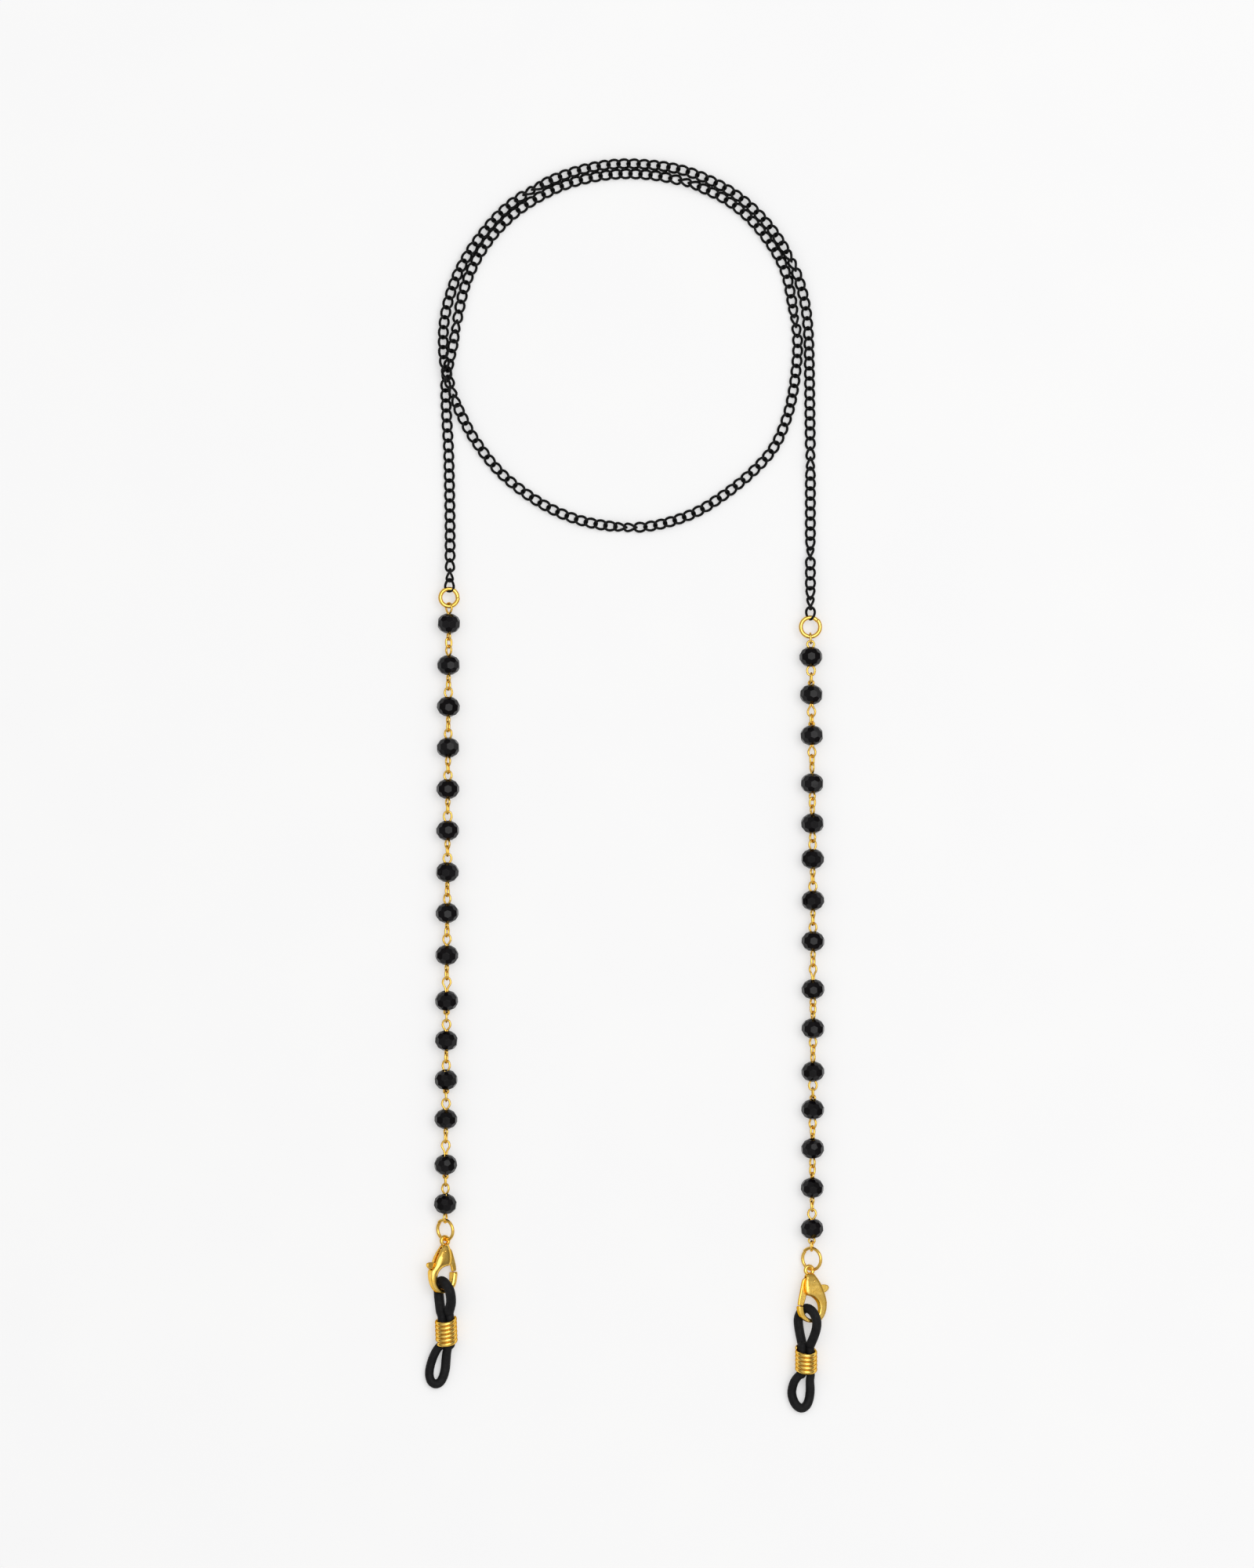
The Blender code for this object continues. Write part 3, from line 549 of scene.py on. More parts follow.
def gold_material():
    """Polished gold plate with faint tumbling marks, and painted shade that turns it brown where
    seen edge on.
    """
    material, tree, shader = new_material("gold_plate", (0.95, 0.64, 0.15), 1.0, 0.2)
    # painted shade: a dark brown edge tint dims the gold's reflections at grazing angles
    shader.inputs["Specular Tint"].default_value = (0.62, 0.34, 0.06, 1.0)
    tint = ramp(tree, noise(tree, 900.0, 3.0), (
        (0.3, (0.90, 0.54, 0.09)), (0.7, (1.0, 0.68, 0.17)),
    ))
    # painted shade: the base colour is multiplied toward brown where the surface is seen edge on,
    # standing in for dark reflections at the rims
    weight = tree.nodes.new("ShaderNodeLayerWeight")
    weight.inputs["Blend"].default_value = 0.5
    edge = ramp(tree, weight.outputs["Facing"], (
        (0.5, (1.0, 1.0, 1.0)), (0.93, (0.5, 0.36, 0.22)),
    ))
    painted_edge_shade = tree.nodes.new("ShaderNodeVectorMath")
    painted_edge_shade.operation = "MULTIPLY"
    tree.links.new(tint, painted_edge_shade.inputs[0])
    tree.links.new(edge, painted_edge_shade.inputs[1])
    tree.links.new(painted_edge_shade.outputs[0], shader.inputs["Base Color"])
    rough = spread(tree, noise(tree, 2600.0, 4.0), 0.13, 0.28)
    tree.links.new(rough, shader.inputs["Roughness"])
    bump(tree, shader, noise(tree, 3800.0, 5.0), 0.35, 0.00003)
    return material


def bead_material():
    """Near-black pressed glass with a fire polish."""
    material, tree, shader = new_material("black_glass", (0.006, 0.005, 0.007), 0.0, 0.06)
    shader.inputs["Specular IOR Level"].default_value = 0.2
    tint = ramp(tree, noise(tree, 420.0, 2.0), (
        (0.35, (0.0015, 0.001, 0.0015)), (0.7, (0.005, 0.004, 0.005)),
    ))
    tree.links.new(tint, shader.inputs["Base Color"])
    rough = spread(tree, noise(tree, 1500.0, 3.0), 0.04, 0.13)
    tree.links.new(rough, shader.inputs["Roughness"])
    bump(tree, shader, noise(tree, 700.0, 2.0), 0.25, 0.00004)
    return material


def chain_material():
    """Black satin plating with a slight mottle."""
    material, tree, shader = new_material("black_plate", (0.003, 0.003, 0.003), 0.0, 0.32)
    shader.inputs["Specular IOR Level"].default_value = 0.16
    tint = ramp(tree, noise(tree, 700.0, 4.0), (
        (0.35, (0.001, 0.001, 0.001)), (0.68, (0.004, 0.004, 0.004)),
    ))
    tree.links.new(tint, shader.inputs["Base Color"])
    rough = spread(tree, noise(tree, 2200.0, 4.0), 0.3, 0.5)
    tree.links.new(rough, shader.inputs["Roughness"])
    bump(tree, shader, noise(tree, 4200.0, 4.0), 0.4, 0.00003)
    return material


def rubber_material():
    """Matte black rubber with a fine moulded grain."""
    material, tree, shader = new_material("black_rubber", (0.016, 0.016, 0.017), 0.0, 0.65)
    shader.inputs["Specular IOR Level"].default_value = 0.22
    tint = ramp(tree, noise(tree, 350.0, 4.0), (
        (0.35, (0.004, 0.004, 0.0045)), (0.7, (0.011, 0.011, 0.0115)),
    ))
    tree.links.new(tint, shader.inputs["Base Color"])
    rough = spread(tree, noise(tree, 1800.0, 5.0), 0.55, 0.8)
    tree.links.new(rough, shader.inputs["Roughness"])
    bump(tree, shader, noise(tree, 2600.0, 6.0), 0.5, 0.00005)
    return material


def floor_material():
    """Matte white acrylic that glows a little."""
    material, tree, shader = new_material("white_acrylic", (0.7, 0.7, 0.7), 0.0, 0.9)
    shader.inputs["Specular IOR Level"].default_value = 0.0
    shader.inputs["Emission Color"].default_value = (1.0, 1.0, 1.0, 1.0)
    shader.inputs["Emission Strength"].default_value = FLOOR_GLOW
    tint = ramp(tree, noise(tree, 40.0, 2.0), (
        (0.3, (0.695, 0.695, 0.70)), (0.7, (0.705, 0.705, 0.705)),
    ))
    tree.links.new(tint, shader.inputs["Base Color"])
    return material


GOLD = gold_material()
GLASS = bead_material()
PLATE = chain_material()
RUBBER = rubber_material()


# ---------------------------------------------------------------- stage

def add_camera():
    """Camera straight above the piece."""
    data = bpy.data.cameras.new("camera")
    data.sensor_width = SENSOR
    data.lens = SENSOR * CAMERA_HEIGHT / VIEW_HEIGHT
    data.clip_end = 20.0
    camera = bpy.data.objects.new("camera", data)
    camera.location = (CAMERA_AIM[0] * MM, CAMERA_AIM[1] * MM, CAMERA_HEIGHT * MM)
    bpy.context.scene.collection.objects.link(camera)
    bpy.context.scene.camera = camera


def add_floor():
    """Plain pale floor."""
    mesh = bpy.data.meshes.new("floor")
    half = FLOOR_SIZE / 2 * MM
    corners = [(-half, -half, 0), (half, -half, 0), (half, half, 0), (-half, half, 0)]
    mesh.from_pydata(corners, [], [(0, 1, 2, 3)])
    mesh.materials.append(floor_material())
    floor = bpy.data.objects.new("floor", mesh)
    bpy.context.scene.collection.objects.link(floor)


def add_softbox():
    """One large softbox above and to the right."""
    data = bpy.data.lights.new("softbox", "AREA")
    data.shape = "SQUARE"
    data.size = SOFTBOX_SIZE
    data.energy = SOFTBOX_POWER
    lamp = bpy.data.objects.new("softbox", data)
    lamp.location = Vector(SOFTBOX_PLACE) * MM
    aim = Vector((*CAMERA_AIM, 0.0)) - Vector(SOFTBOX_PLACE)
    lamp.rotation_euler = aim.to_track_quat("-Z", "Y").to_euler()
    bpy.context.scene.collection.objects.link(lamp)


def add_room():
    """Bright room that darkens toward the horizon."""
    world = bpy.data.worlds.new("room")
    world.use_nodes = True
    bpy.context.scene.world = world
    tree = world.node_tree
    place = tree.nodes.new("ShaderNodeTexCoord")
    split = tree.nodes.new("ShaderNodeSeparateXYZ")
    tree.links.new(place.outputs["Generated"], split.inputs["Vector"])
    colour = ramp(tree, split.outputs["Z"], (
        (0.0, (0.17, 0.16, 0.15)), (1.0, (0.84, 0.84, 0.84)), (0.35, (0.27, 0.26, 0.25)),
        (0.65, (0.54, 0.54, 0.54)), (0.88, (0.80, 0.80, 0.80)),
    ))
    shade = tree.nodes["Background"]
    shade.inputs["Strength"].default_value = WORLD_STRENGTH
    tree.links.new(colour, shade.inputs["Color"])
    bpy.context.scene.view_settings.view_transform = "Standard"


# ---------------------------------------------------------------- neck chain

def chain_curve():
    """Centre line of the links in millimetres: it lies low and rises to the rings."""
    route = (np.array(CHAIN_ROUTE) + np.array(CHAIN_SHIFT)) / MM
    curve = smooth_route(route, 12)
    distance = along(curve)
    lift = CHAIN_REST_HEIGHT + CHAIN_LIFT_SHARE * (curve[:, 2] - CHAIN_CAD_HEIGHT)
    ends = (("left_upper_ring", distance), ("right_upper_ring", distance[-1] - distance))
    for node, gone in ends:
        share = np.clip(1 - gone / CHAIN_RISE, 0, 1)
        ease = share * share * (3 - 2 * share)
        lift = lift * (1 - ease) + centre_of(node).z * ease
    curve[:, 2] = lift
    return curve


def link_path(reach, half_width, twist, steps=24):
    """One curb link along X: an oval whose ends are twisted out of its plane."""
    t = 2 * math.pi * np.arange(steps) / steps
    x = reach * np.sign(np.cos(t)) * np.abs(np.cos(t)) ** LINK_FULLNESS
    w = half_width * np.sign(np.sin(t)) * np.abs(np.sin(t)) ** LINK_FULLNESS
    turn = np.radians(twist) * x / reach
    return np.stack([x, w * np.cos(turn), w * np.sin(turn)], axis=1)


def link_rolls(count):
    """Roll of each link: a slow wander, a few places on edge, set rolls at both ends."""
    place = np.arange(count) / (count - 1)
    roll = sum(size * np.sin(rate * place + phase) for size, rate, phase in LINK_WANDER)
    for number, middle in enumerate(EDGE_ON_PLACES):
        sign = -1 if number % 2 else 1
        away = (place - middle) * count / EDGE_ON_REACH
        roll += sign * EDGE_ON_ROLL * np.exp(-away ** 2)
    roll[:len(START_ROLLS)] = START_ROLLS
    roll[-len(END_ROLLS):] = END_ROLLS
    return roll


def add_chain():
    """Curb chain of separate twisted links."""
    curve = chain_curve()
    length = along(curve)[-1]
    count = int(round(length / LINK_PITCH)) + 1
    places = np.linspace(0, length, count)
    centres = points_at(curve, places)
    ahead = points_at(curve, np.clip(places + LINK_LOOK, 0, length))
    behind = points_at(curve, np.clip(places - LINK_LOOK, 0, length))
    tangents = unit(ahead - behind)
    rolls = np.radians(link_rolls(count))
    path = link_path(LINK_REACH, LINK_HALF_WIDTH, LINK_TWIST)
    up = np.array([0.0, 0.0, 1.0])
    shapes = []
    for centre, tangent, roll in zip(centres, tangents, rolls):
        across = unit(np.cross(up, tangent))
        over = np.cross(tangent, across)
        left = across * math.cos(roll) + over * math.sin(roll)
        top = -across * math.sin(roll) + over * math.cos(roll)
        lifted = centre + up * LINK_ROLL_LIFT * math.sin(roll) ** 2
        points = lifted + path @ np.stack([tangent, left, top])
        shapes.append(tube(points, LINK_WIRE, LINK_SIDES, True, top))
    piece = add_shape("curb_chain_links", joined(shapes), PLATE, "chain", "neck_chain")


# ---------------------------------------------------------------- strands

def on_strand(side, y):
    """Sideways place and height of a strand at a given length."""
    name = side["name"]
    nodes = [name + "_upper_ring"] + bead_nodes(side) + [name + "_lower_ring"]
    centres = np.array([centre_of(node) for node in nodes])[::-1]
    return np.interp(y, centres[:, 1], centres[:, 0]), np.interp(y, centres[:, 1], centres[:, 2])


def bead_nodes(side):
    """CAD node names of a strand's beads, top to bottom."""
    return [side["name"] + "_bead_%02d" % (n + 1) for n in range(len(side["beads"]))]


def wire_node(body):
    """CAD node of the wires of a run."""
    return body.replace("_run_", "_wire_")


def loop_outline(reach):
    """Half width and distance from the bead's face, from one wire end round to the other."""
    base = reach - LOOP_LENGTH
    if base < 0:
        wide = LOOP_HALF_WIDTH * min(1.0, 0.45 + 0.35 * reach)
        half = (
            (-WIRE_IN_HOLE, -0.6), (-0.3, -0.2), (-0.72 * wide, 0.1 * reach),
            (-wide, 0.38 * reach), (-0.96 * wide, 0.64 * reach), (-0.66 * wide, 0.9 * reach),
        )
    else:
        wide = LOOP_HALF_WIDTH
        half = (
            (-WIRE_IN_HOLE, -0.6), (-0.21, base * 0.5), (-0.42, base + 0.18),
            (-0.9 * wide, base + 0.6), (-1.03 * wide, base + 1.05), (-0.74 * wide, base + 1.68),
        )
    return half + ((0.0, reach),) + tuple((-w, y) for w, y in half[::-1])


def turned(width, turn):
    """Offset across the strand turned about it."""
    angle = math.radians(turn)
    return width * math.cos(angle), width * math.sin(angle)


def pin_shape(side, node, top, bottom):
    """Eye pin through a bead; top and bottom hold reach and turn."""
    centre = centre_of(node)
    points = []
    for width, y in loop_outline(top[0])[::-1]:
        dx, dz = turned(width, top[1])
        points.append((dx, BEAD_LENGTH / 2 + y, dz))
    for share in (0.3, 0.7):
        dx, dz = turned(-WIRE_IN_HOLE, top[1] * (1 - share) + bottom[1] * share)
        points.append((dx, (1 - 2 * share) * (BEAD_LENGTH / 2 - 0.6), dz))
    for width, y in loop_outline(bottom[0]):
        dx, dz = turned(width, bottom[1])
        points.append((dx, -BEAD_LENGTH / 2 - y, dz))
    curve = smooth_route(points, 6)
    curve[:, 1] += centre.y
    x, z = on_strand(side, curve[:, 1])
    curve[:, 0] += x
    curve[:, 2] += z
    return tube(curve, STRAND_WIRE, STRAND_WIRE_SIDES)


def connector_shape(side, y, turn, lean):
    """Oval connector between two loops."""
    t = 2 * math.pi * np.arange(32) / 32
    flat = CONNECTOR_HALF_LENGTH * np.sign(np.cos(t)) * np.abs(np.cos(t)) ** 0.9
    width = CONNECTOR_HALF_WIDTH * np.sign(np.sin(t)) * np.abs(np.sin(t)) ** 0.9
    dx, dz = turned(1.0, turn)
    x, z = on_strand(side, y)
    points = np.stack([width * dx + lean * flat, flat, width * dz], axis=1)
    points += np.array([float(x), y, float(z)])
    return tube(points, STRAND_WIRE, STRAND_WIRE_SIDES, True, (-dz, 0.0, dx))


def bead_cuts():
    """Direction and distance of each facet, ring by ring of facets."""
    cuts = []
    for tilt, distance, phase in BEAD_CUTS:
        level = math.cos(math.radians(tilt))
        slope = math.sin(math.radians(tilt))
        for end in ((1,) if tilt == 0 else (1, -1)):
            for k in range(BEAD_CUT_COUNT):
                angle = 2 * math.pi * (k + phase) / BEAD_CUT_COUNT
                normal = Vector((level * math.cos(angle), end * slope, level * math.sin(angle)))
                cuts.append((normal, distance))
    return cuts


def bead_solid():
    """Faceted bead along Y with a drilled hole, about its own centre."""
    work = bmesh.new()
    bmesh.ops.create_cube(work, size=BEAD_LENGTH)
    bmesh.ops.scale(work, vec=BEAD_BLANK, verts=work.verts)
    for normal, distance in bead_cuts():
        geometry = work.verts[:] + work.edges[:] + work.faces[:]
        bmesh.ops.bisect_plane(
            work, geom=geometry, dist=1e-5, plane_co=normal * distance,
            plane_no=normal, clear_outer=True,
        )
        rim = [edge for edge in work.edges if edge.is_boundary]
        bmesh.ops.holes_fill(work, edges=rim)
    bmesh.ops.bevel(
        work, geom=work.edges[:], offset=BEAD_EDGE, segments=2, profile=0.5, affect="EDGES",
    )
    mesh = bpy.data.meshes.new("bead_solid")
    work.to_mesh(mesh)
    work.free()
    rod = np.array([(0.0, -HOLE_HALF_LENGTH, 0.0), (0.0, HOLE_HALF_LENGTH, 0.0)])
    drill = tube(rod, HOLE_RADIUS, 24)
    return booled("bead_solid", mesh, [("DIFFERENCE", drill)])


def booled(name, base_mesh, steps):
    """A mesh after a list of exact Boolean steps."""
    base = bpy.data.objects.new(name + "_base", base_mesh)
    bpy.context.scene.collection.objects.link(base)
    helpers = []
    for number, (operation, shape) in enumerate(steps):
        tool = bpy.data.objects.new(name + "_tool", mesh_from(name + "_tool", shape, 1.0))
        bpy.context.scene.collection.objects.link(tool)
        helpers.append(tool)
        step = base.modifiers.new("step_%d" % number, "BOOLEAN")
        step.operation = operation
        step.solver = "EXACT"
        step.object = tool
    graph = bpy.context.evaluated_depsgraph_get()
    graph.update()
    result = bpy.data.meshes.new_from_object(base.evaluated_get(graph))
    for item in helpers + [base]:
        bpy.data.objects.remove(item, do_unlink=True)
    return result


def add_beads(side, solid):
    """Fifteen faceted beads."""
    for node, (spin, tip, lean) in zip(bead_nodes(side), side["beads"]):
        mesh = solid.copy()
        turn = (
            Matrix.Rotation(math.radians(lean), 4, "Z")
            @ Matrix.Rotation(math.radians(tip), 4, "X")
            @ Matrix.Rotation(math.radians(spin), 4, "Y")
        )
        place = Matrix.Translation(centre_of(node)) @ turn
        mesh.transform(Matrix.Scale(MM, 4) @ place)
        add_piece(node + "_glass", mesh, GLASS, node, node, smooth=False)


def strand_plan(side):
    """Upper and lower loop of each bead as reach and turn, and each connector's place."""
    nodes = bead_nodes(side)
    centres = [centre_of(node) for node in nodes]
    face = BEAD_LENGTH / 2
    ring = side["upper_ring"]
    apex = ring_place(side, "upper_ring").y - ring["radius"] + ring["wire"] + STRAND_WIRE
    connectors = []
    if side["end_links"]:
        middle = apex - CONNECTOR_HALF_LENGTH
        connectors.append((middle, END_LINK_TURN, PARENT[nodes[0]]))
        apex = middle - CONNECTOR_HALF_LENGTH + HOOKED
    tops = [(apex - centres[0].y - face, side["first_loop_turn"])]
    bottoms = []
    for number, (reach, upper_turn, turn, lower_turn) in enumerate(side["gaps"]):
        gap = centres[number].y - centres[number + 1].y - BEAD_LENGTH
        bottoms.append((reach, upper_turn))
        if turn is None:
            tops.append((gap - reach + HOOKED, lower_turn))
            continue
        middle = centres[number].y - face - reach + HOOKED - CONNECTOR_HALF_LENGTH
        connectors.append((middle, turn, PARENT[nodes[number]]))
        tops.append((gap - reach + 2 * (HOOKED - CONNECTOR_HALF_LENGTH), lower_turn))
    ring = side["lower_ring"]
    apex = ring_place(side, "lower_ring").y + ring["radius"] - ring["wire"] - STRAND_WIRE
    turn = side["last_turn"]
    if side["end_links"]:
        middle = apex + CONNECTOR_HALF_LENGTH
        connectors.append((middle, turn, PARENT[nodes[-1]]))
        apex = middle + CONNECTOR_HALF_LENGTH - HOOKED
        turn += 90.0
    bottoms.append((centres[-1].y - face - apex, turn))
    return tops, bottoms, connectors


def add_wires(side):
    """Eye pins through the beads and the oval connectors between them."""
    name = side["name"]
    tops, bottoms, connectors = strand_plan(side)
    for node, top, bottom in zip(bead_nodes(side), tops, bottoms):
        shape = pin_shape(side, node, top, bottom)
        add_shape(node + "_pin", shape, GOLD, PARENT[node], wire_node(PARENT[node]))
    for number, (y, turn, body) in enumerate(connectors):
        lean = CONNECTOR_LEAN * math.sin(2.4 * number + len(name))
        shape = connector_shape(side, y, turn, lean)
        label = name + "_connector_%02d" % (number + 1)
        add_shape(label, shape, GOLD, body, wire_node(body))


def ring_place(side, level):
    """Middle of a jump ring: its CAD node's middle, moved down the strand by its drop."""
    return centre_of(side["name"] + "_" + level) - Vector((0.0, side[level]["drop"], 0.0))


def split_ring(centre, radius, wire, roll, lean, split):
    """Jump ring with butted ends a little out of line."""
    opening = math.radians(RING_OPENING)
    share = np.linspace(0, 1, 72)
    angle = math.radians(split) + opening + share * (2 * math.pi - 2 * opening)
    slip = (2 * share - 1) ** 9
    reach = radius + RING_SPREAD * slip
    flat = np.stack([reach * np.cos(angle), reach * np.sin(angle), RING_SLIP * slip], axis=1)
    turn = Matrix.Rotation(math.radians(lean), 3, "Z") @ Matrix.Rotation(math.radians(roll), 3, "Y")
    turn = np.array(turn)
    points = flat @ turn.T + np.array(centre)
    return tube(points, wire, 14, False, turn @ np.array([0.0, 0.0, 1.0]))


def add_rings(side):
    """Upper and lower jump rings."""
    for level in ("upper_ring", "lower_ring"):
        node = side["name"] + "_" + level
        ring = side[level]
        shape = split_ring(
            ring_place(side, level), ring["radius"], ring["wire"], ring["roll"], ring["lean"],
            ring["split"],
        )
        add_shape(node + "_wire", shape, GOLD, node, node)


# ---------------------------------------------------------------- clasps

def clasp_place(side):
    """Place of a clasp, from the pivot of its lever."""
    turn = (
        Matrix.Rotation(math.radians(CLASP_PITCH), 4, "X")
        @ Matrix.Rotation(math.radians(side["clasp_roll"]), 4, "Y")
    )
    pivot = Vector(PIVOTS[side["name"] + "_lever"]) / MM
    eye = pivot - turn @ Vector((*side["pivot"], 0.0))
    return Matrix.Translation(eye) @ turn


def edge_distance(points, edge):
    """Distance of flat points from a closed outline, and which of them lie inside it."""
    points = points[:, None, :]
    start = edge[None, :, :]
    step = np.roll(edge, -1, axis=0)[None, :, :] - start
    share = ((points - start) * step).sum(-1) / (step ** 2).sum(-1)
    nearest = start + np.clip(share, 0, 1)[..., None] * step
    distance = np.linalg.norm(points - nearest, axis=-1).min(axis=1)
    rise = points[..., 1] - start[..., 1]
    crosses = (rise >= 0) != (rise - step[..., 1] >= 0)
    slope = step[..., 0] / np.where(step[..., 1] == 0, 1e-9, step[..., 1])
    meets = start[..., 0] + rise * slope
    inside = (crosses & (points[..., 0] < meets)).sum(axis=1) % 2 == 1
    return distance, inside


def slab_faces(cells, total):
    """Front, back and rim faces of the filled cells of a grid.

    The grid has one more row and column of vertices than of cells, and the
    back's vertices follow the front's, of which there are total.
    """
    columns = cells.shape[1]
    padded = np.pad(cells, 1)
    faces = []
    for i, j in np.argwhere(cells):
        a = i * (columns + 1) + j
        b = a + columns + 1
        c = b + 1
        d = a + 1
        faces.append([a, b, c, d])
        faces.append([total + d, total + c, total + b, total + a])
        if not padded[i, j + 1]:
            faces.append([a, d, total + d, total + a])
        if not padded[i + 2, j + 1]:
            faces.append([c, b, total + b, total + c])
        if not padded[i + 1, j]:
            faces.append([b, a, total + a, total + b])
        if not padded[i + 1, j + 2]:
            faces.append([d, c, total + c, total + d])
    return faces


def pillow(outline, thickness):
    """Domed solid over a flat outline, on a fine grid; thickness goes with Y."""
    edge = smooth_route([(x, y, 0.0) for x, y in outline], 5, True)[:, :2]
    low = edge.min(axis=0) - 2 * BODY_GRID
    high = edge.max(axis=0) + 2 * BODY_GRID
    xs = np.arange(low[0], high[0], BODY_GRID)
    ys = np.arange(low[1], high[1], BODY_GRID)
    flat = np.stack(np.meshgrid(xs, ys, indexing="ij"), axis=-1).reshape(-1, 2)
    distance, inside = edge_distance(flat, edge)
    levels = np.array(thickness)
    half = np.interp(flat[:, 1], levels[:, 0], levels[:, 1])
    heights = []
    for rim, rounding in (BODY_FRONT, BODY_BACK):
        depth = np.clip(distance / (rounding * half), 0, 1)
        dome = rim + (1 - rim) * np.sqrt(1 - (1 - depth) ** 2)
        heights.append(np.where(inside, half * dome, 0.0) + BODY_SKIN)
    verts = np.vstack([np.column_stack([flat, heights[0]]), np.column_stack([flat, -heights[1]])])
    inside = inside.reshape(len(xs), len(ys))
    cells = inside[:-1, :-1] & inside[1:, :-1] & inside[:-1, 1:] & inside[1:, 1:]
    faces = slab_faces(cells, len(flat))
    used = np.unique(np.concatenate([np.array(face) for face in faces]))
    index = np.full(len(verts), -1)
    index[used] = np.arange(len(used))
    return verts[used], [[int(index[n]) for n in face] for face in faces]


def prism(outline, low, high):
    """Straight extrusion of a flat outline."""
    count = len(outline)
    verts = [(x, y, low) for x, y in outline] + [(x, y, high) for x, y in outline]
    faces = [list(range(count))[::-1], list(range(count, 2 * count))]
    for i in range(count):
        j = (i + 1) % count
        faces.append([i, j, count + j, count + i])
    return np.array(verts), faces


def softened(mesh, rounds):
    """Fine even skin over a mesh with its edges rounded."""
    item = bpy.data.objects.new("softened", mesh)
    bpy.context.scene.collection.objects.link(item)
    skin = item.modifiers.new("skin", "REMESH")
    skin.mode = "VOXEL"
    skin.voxel_size = CLASP_VOXEL
    relax = item.modifiers.new("relax", "SMOOTH")
    relax.factor = 0.5
    relax.iterations = rounds
    graph = bpy.context.evaluated_depsgraph_get()
    graph.update()
    result = bpy.data.meshes.new_from_object(item.evaluated_get(graph))
    bpy.data.objects.remove(item, do_unlink=True)
    return result


def body_outline(seam, spine_shift):
    """Outline of a clasp's body; its hook ends where the lever closes on it."""
    tip = (
        (1.42, seam / 2 - 4.05), (1.52, seam - 0.12), (1.95, seam), (2.4, seam + 0.05),
        (2.55, seam - 0.25), (2.55, seam / 2 - 3.9),
    )
    spine = tuple((x + spine_shift, y) for x, y in BODY_SPINE)
    return BODY_START + tip + BODY_REST + spine


def clasp_meshes(side):
    """Body and lever meshes in a clasp's own frame, in millimetres."""
    t = 2 * math.pi * np.arange(40) / 40
    circle = np.stack([EYE_RADIUS * np.cos(t), EYE_RADIUS * np.sin(t), 0 * t], axis=1)
    eye = tube(circle, EYE_WIRE, 16, True)
    (x0, x1), (y0, y1), (z0, z1) = SLOT
    slot = prism(((x0, y0), (x1, y0), (x1, y1), (x0, y1)), z0, z1)
    outline = body_outline(side["seam"], side["spine"])
    cast = softened(mesh_from("body", pillow(outline, BODY_THICKNESS), 1.0), 3)
    body = booled("clasp_body", cast, [("UNION", eye), ("DIFFERENCE", slot)])
    outline = smooth_route([(x, y, 0.0) for x, y in side["lever"]], 3, True)[:, :2]
    lever = mesh_from("lever", prism(outline, -LEVER_HALF_DEPTH, LEVER_HALF_DEPTH), 1.0)
    return softened(body, 3), softened(lever, 4)


def clasp_pin_shape(side):
    """Pin that the lever turns on, in the clasp's own frame."""
    x, y = side["pivot"]
    ends = np.array([(x, y, -PIN_HALF_LENGTH), (x, y, PIN_HALF_LENGTH)])
    return tube(ends, PIN_RADIUS, 20, False, (1, 0, 0))


def clasp_spring_shape():
    """Small coil spring behind the lever, in the clasp's own frame."""
    top = Vector(SPRING_TOP)
    end = Vector(SPRING_END)
    up = Vector((0, 0, 1))
    axis = (end - top).normalized()
    across = up.cross(axis)
    steps = SPRING_STEPS * SPRING_TURNS
    points = []
    for i in range(steps + 1):
        angle = 2 * math.pi * i / SPRING_STEPS
        around = across * math.cos(angle) + up * math.sin(angle)
        points.append(top.lerp(end, i / steps) + SPRING_RADIUS * around)
    return tube(points, SPRING_WIRE, 8, False, axis)


def add_clasp(side):
    """Clasp body, lever, pivot pin and spring."""
    name = side["name"]
    body_mesh, lever_mesh = clasp_meshes(side)
    pin_mesh = mesh_from("lever_pin", clasp_pin_shape(side), 1.0)
    spring_mesh = mesh_from("lever_spring", clasp_spring_shape(), 1.0)
    to_frame = Matrix.Scale(MM, 4) @ clasp_place(side)
    for node, ending, mesh, body in (
        ("_clasp_body", "_cast", body_mesh, "_clasp"),
        ("_clasp_lever", "_cast", lever_mesh, "_lever"),
        ("_lever_pin", "_wire", pin_mesh, "_clasp"),
        ("_lever_spring", "_wire", spring_mesh, "_clasp"),
    ):
        mesh.transform(to_frame)
        add_piece(name + node + ending, mesh, GOLD, name + body, name + node)


# ---------------------------------------------------------------- rubber and coils

def coil_place(side):
    """Middle of a coil, resting on the floor."""
    centre = centre_of(side["name"] + "_coil_slider")
    x, y = side["coil_shift"]
    return Vector((centre.x + x, centre.y + y, COIL_OUTER + FLOOR_GAP))


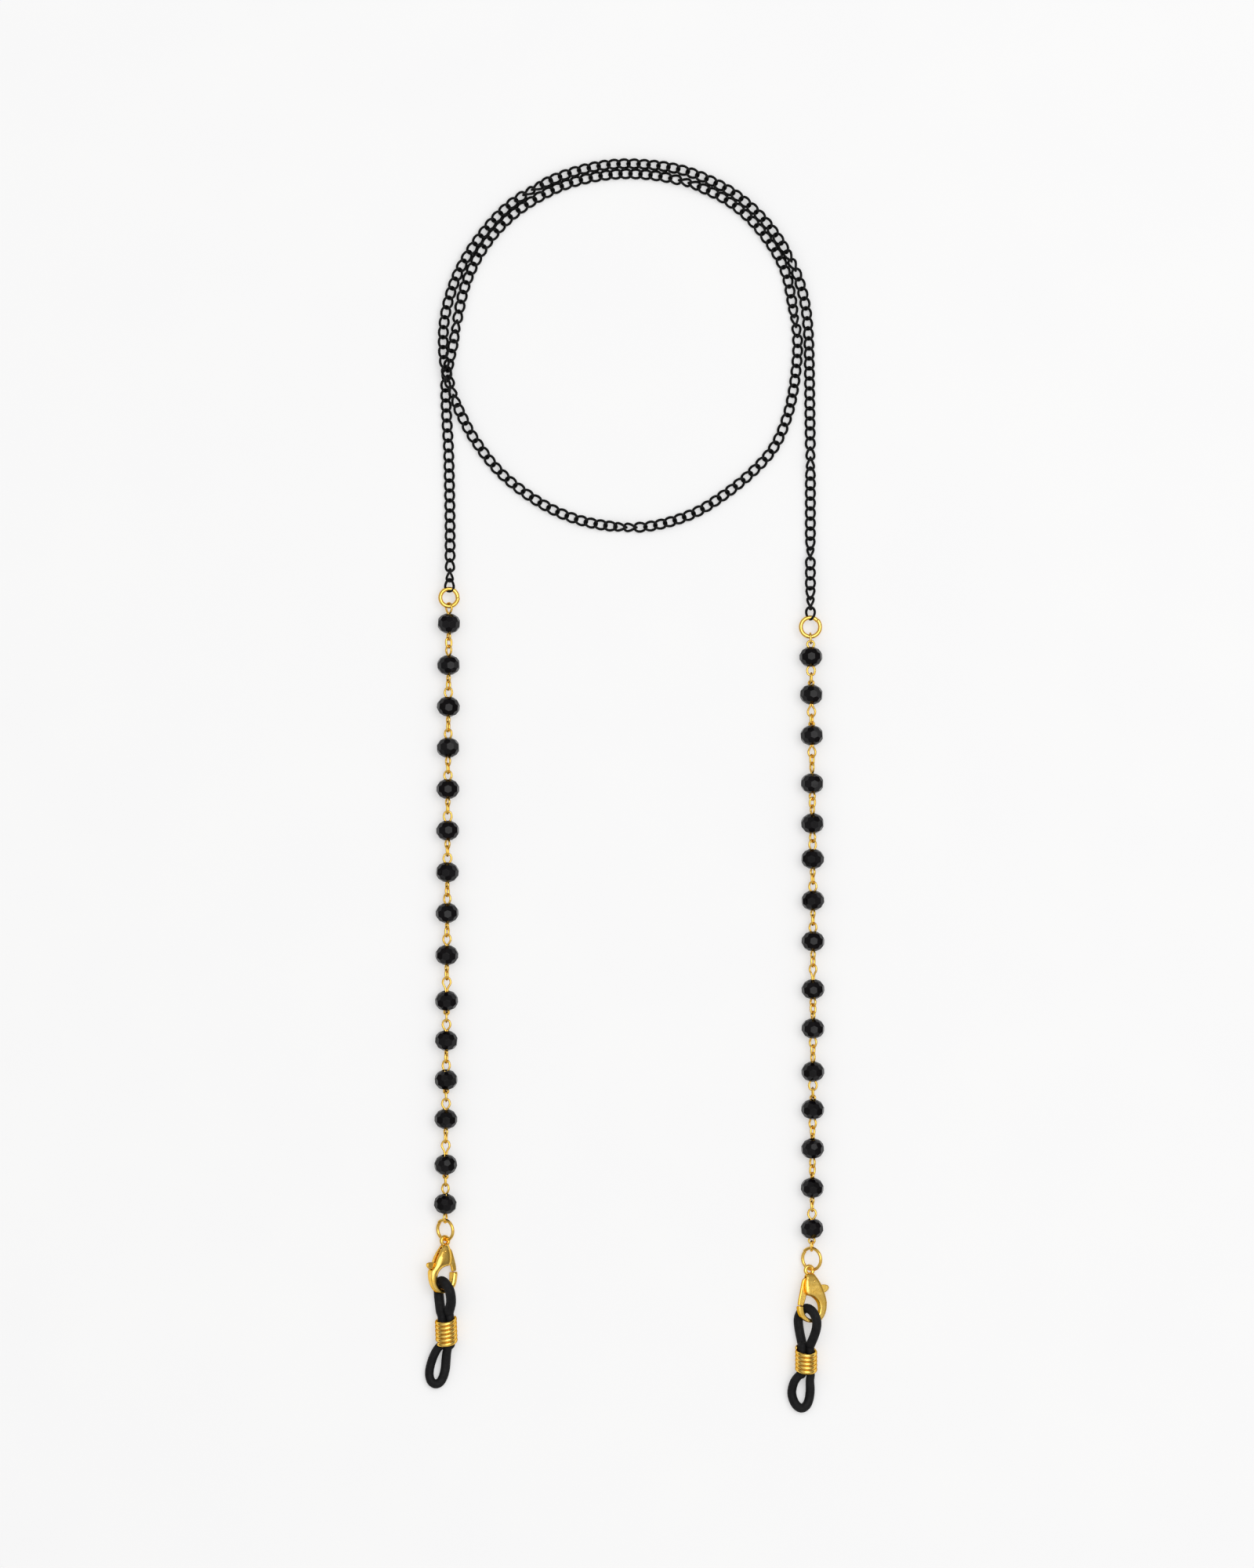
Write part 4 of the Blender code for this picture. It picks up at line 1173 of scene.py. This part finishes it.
def rubber_path(side):
    """Closed centre line of a rubber loop with its radius as a fourth value."""
    eye = clasp_place(side).translation
    coil = coil_place(side)
    lean = Matrix.Rotation(math.radians(side["coil_turn"]), 3, "Z")
    points = [(eye.x + x, eye.y + y, z, side["rubber"]) for x, y, z in side["hang"]]
    for place in (COIL_GRIP, 1.0, -1.0, -COIL_GRIP):
        point = coil + lean @ Vector((SQUEEZED_OFFSET, place, 0.0))
        points.append((*point, SQUEEZED_RADIUS))
    for x, y, radius in side["tail"]:
        drop = (radius + 0.02 - coil.z) * min(1.0, -y / TAIL_FALL)
        points.append((coil.x + x, coil.y - COIL_GRIP + y, coil.z + drop, radius))
    for place in (-COIL_GRIP, -1.0, 1.0, COIL_GRIP):
        point = coil + lean @ Vector((-SQUEEZED_OFFSET, place, 0.0))
        points.append((*point, SQUEEZED_RADIUS))
    return smooth_route(points, 8, True)


def add_rubber(side):
    """Rubber loop hung in the clasp."""
    name = side["name"]
    route = rubber_path(side)
    shape = tube(route[:, :3], route[:, 3], 28, True)
    add_shape(name + "_rubber_cord", shape, RUBBER, name + "_loop", name + "_rubber_loop")


def add_coil(side):
    """Coil of thick gold wire."""
    name = side["name"]
    centre = np.array(coil_place(side))
    turn = np.array(Matrix.Rotation(math.radians(side["coil_turn"]), 3, "Z"))
    turns = side["coil_turns"]
    steps = int(turns * COIL_STEPS)
    share = np.arange(steps + 1) / steps
    angle = 2 * math.pi * (turns * share + side["coil_start"])
    radius = COIL_OUTER - COIL_HALF_THICKNESS
    y = turns * COIL_PITCH * (0.5 - share) - COIL_SLANT * np.sin(angle)
    y += side["coil_skew"] * np.cos(angle)
    points = np.stack([radius * np.cos(angle), y, radius * np.sin(angle)], axis=1) @ turn.T
    points += centre
    flatten = COIL_HALF_THICKNESS / COIL_HALF_WIDTH
    shape = tube(points, COIL_HALF_WIDTH, 20, False, (0, 1, 0), flatten, True)
    add_shape(name + "_coil_wire", shape, GOLD, name + "_slider", name + "_coil_slider")


add_camera()
add_floor()
add_softbox()
add_room()
add_chain()
bead = bead_solid()
for strand in (LEFT, RIGHT):
    add_rings(strand)
    add_beads(strand, bead)
    add_wires(strand)
    add_clasp(strand)
    add_rubber(strand)
    add_coil(strand)
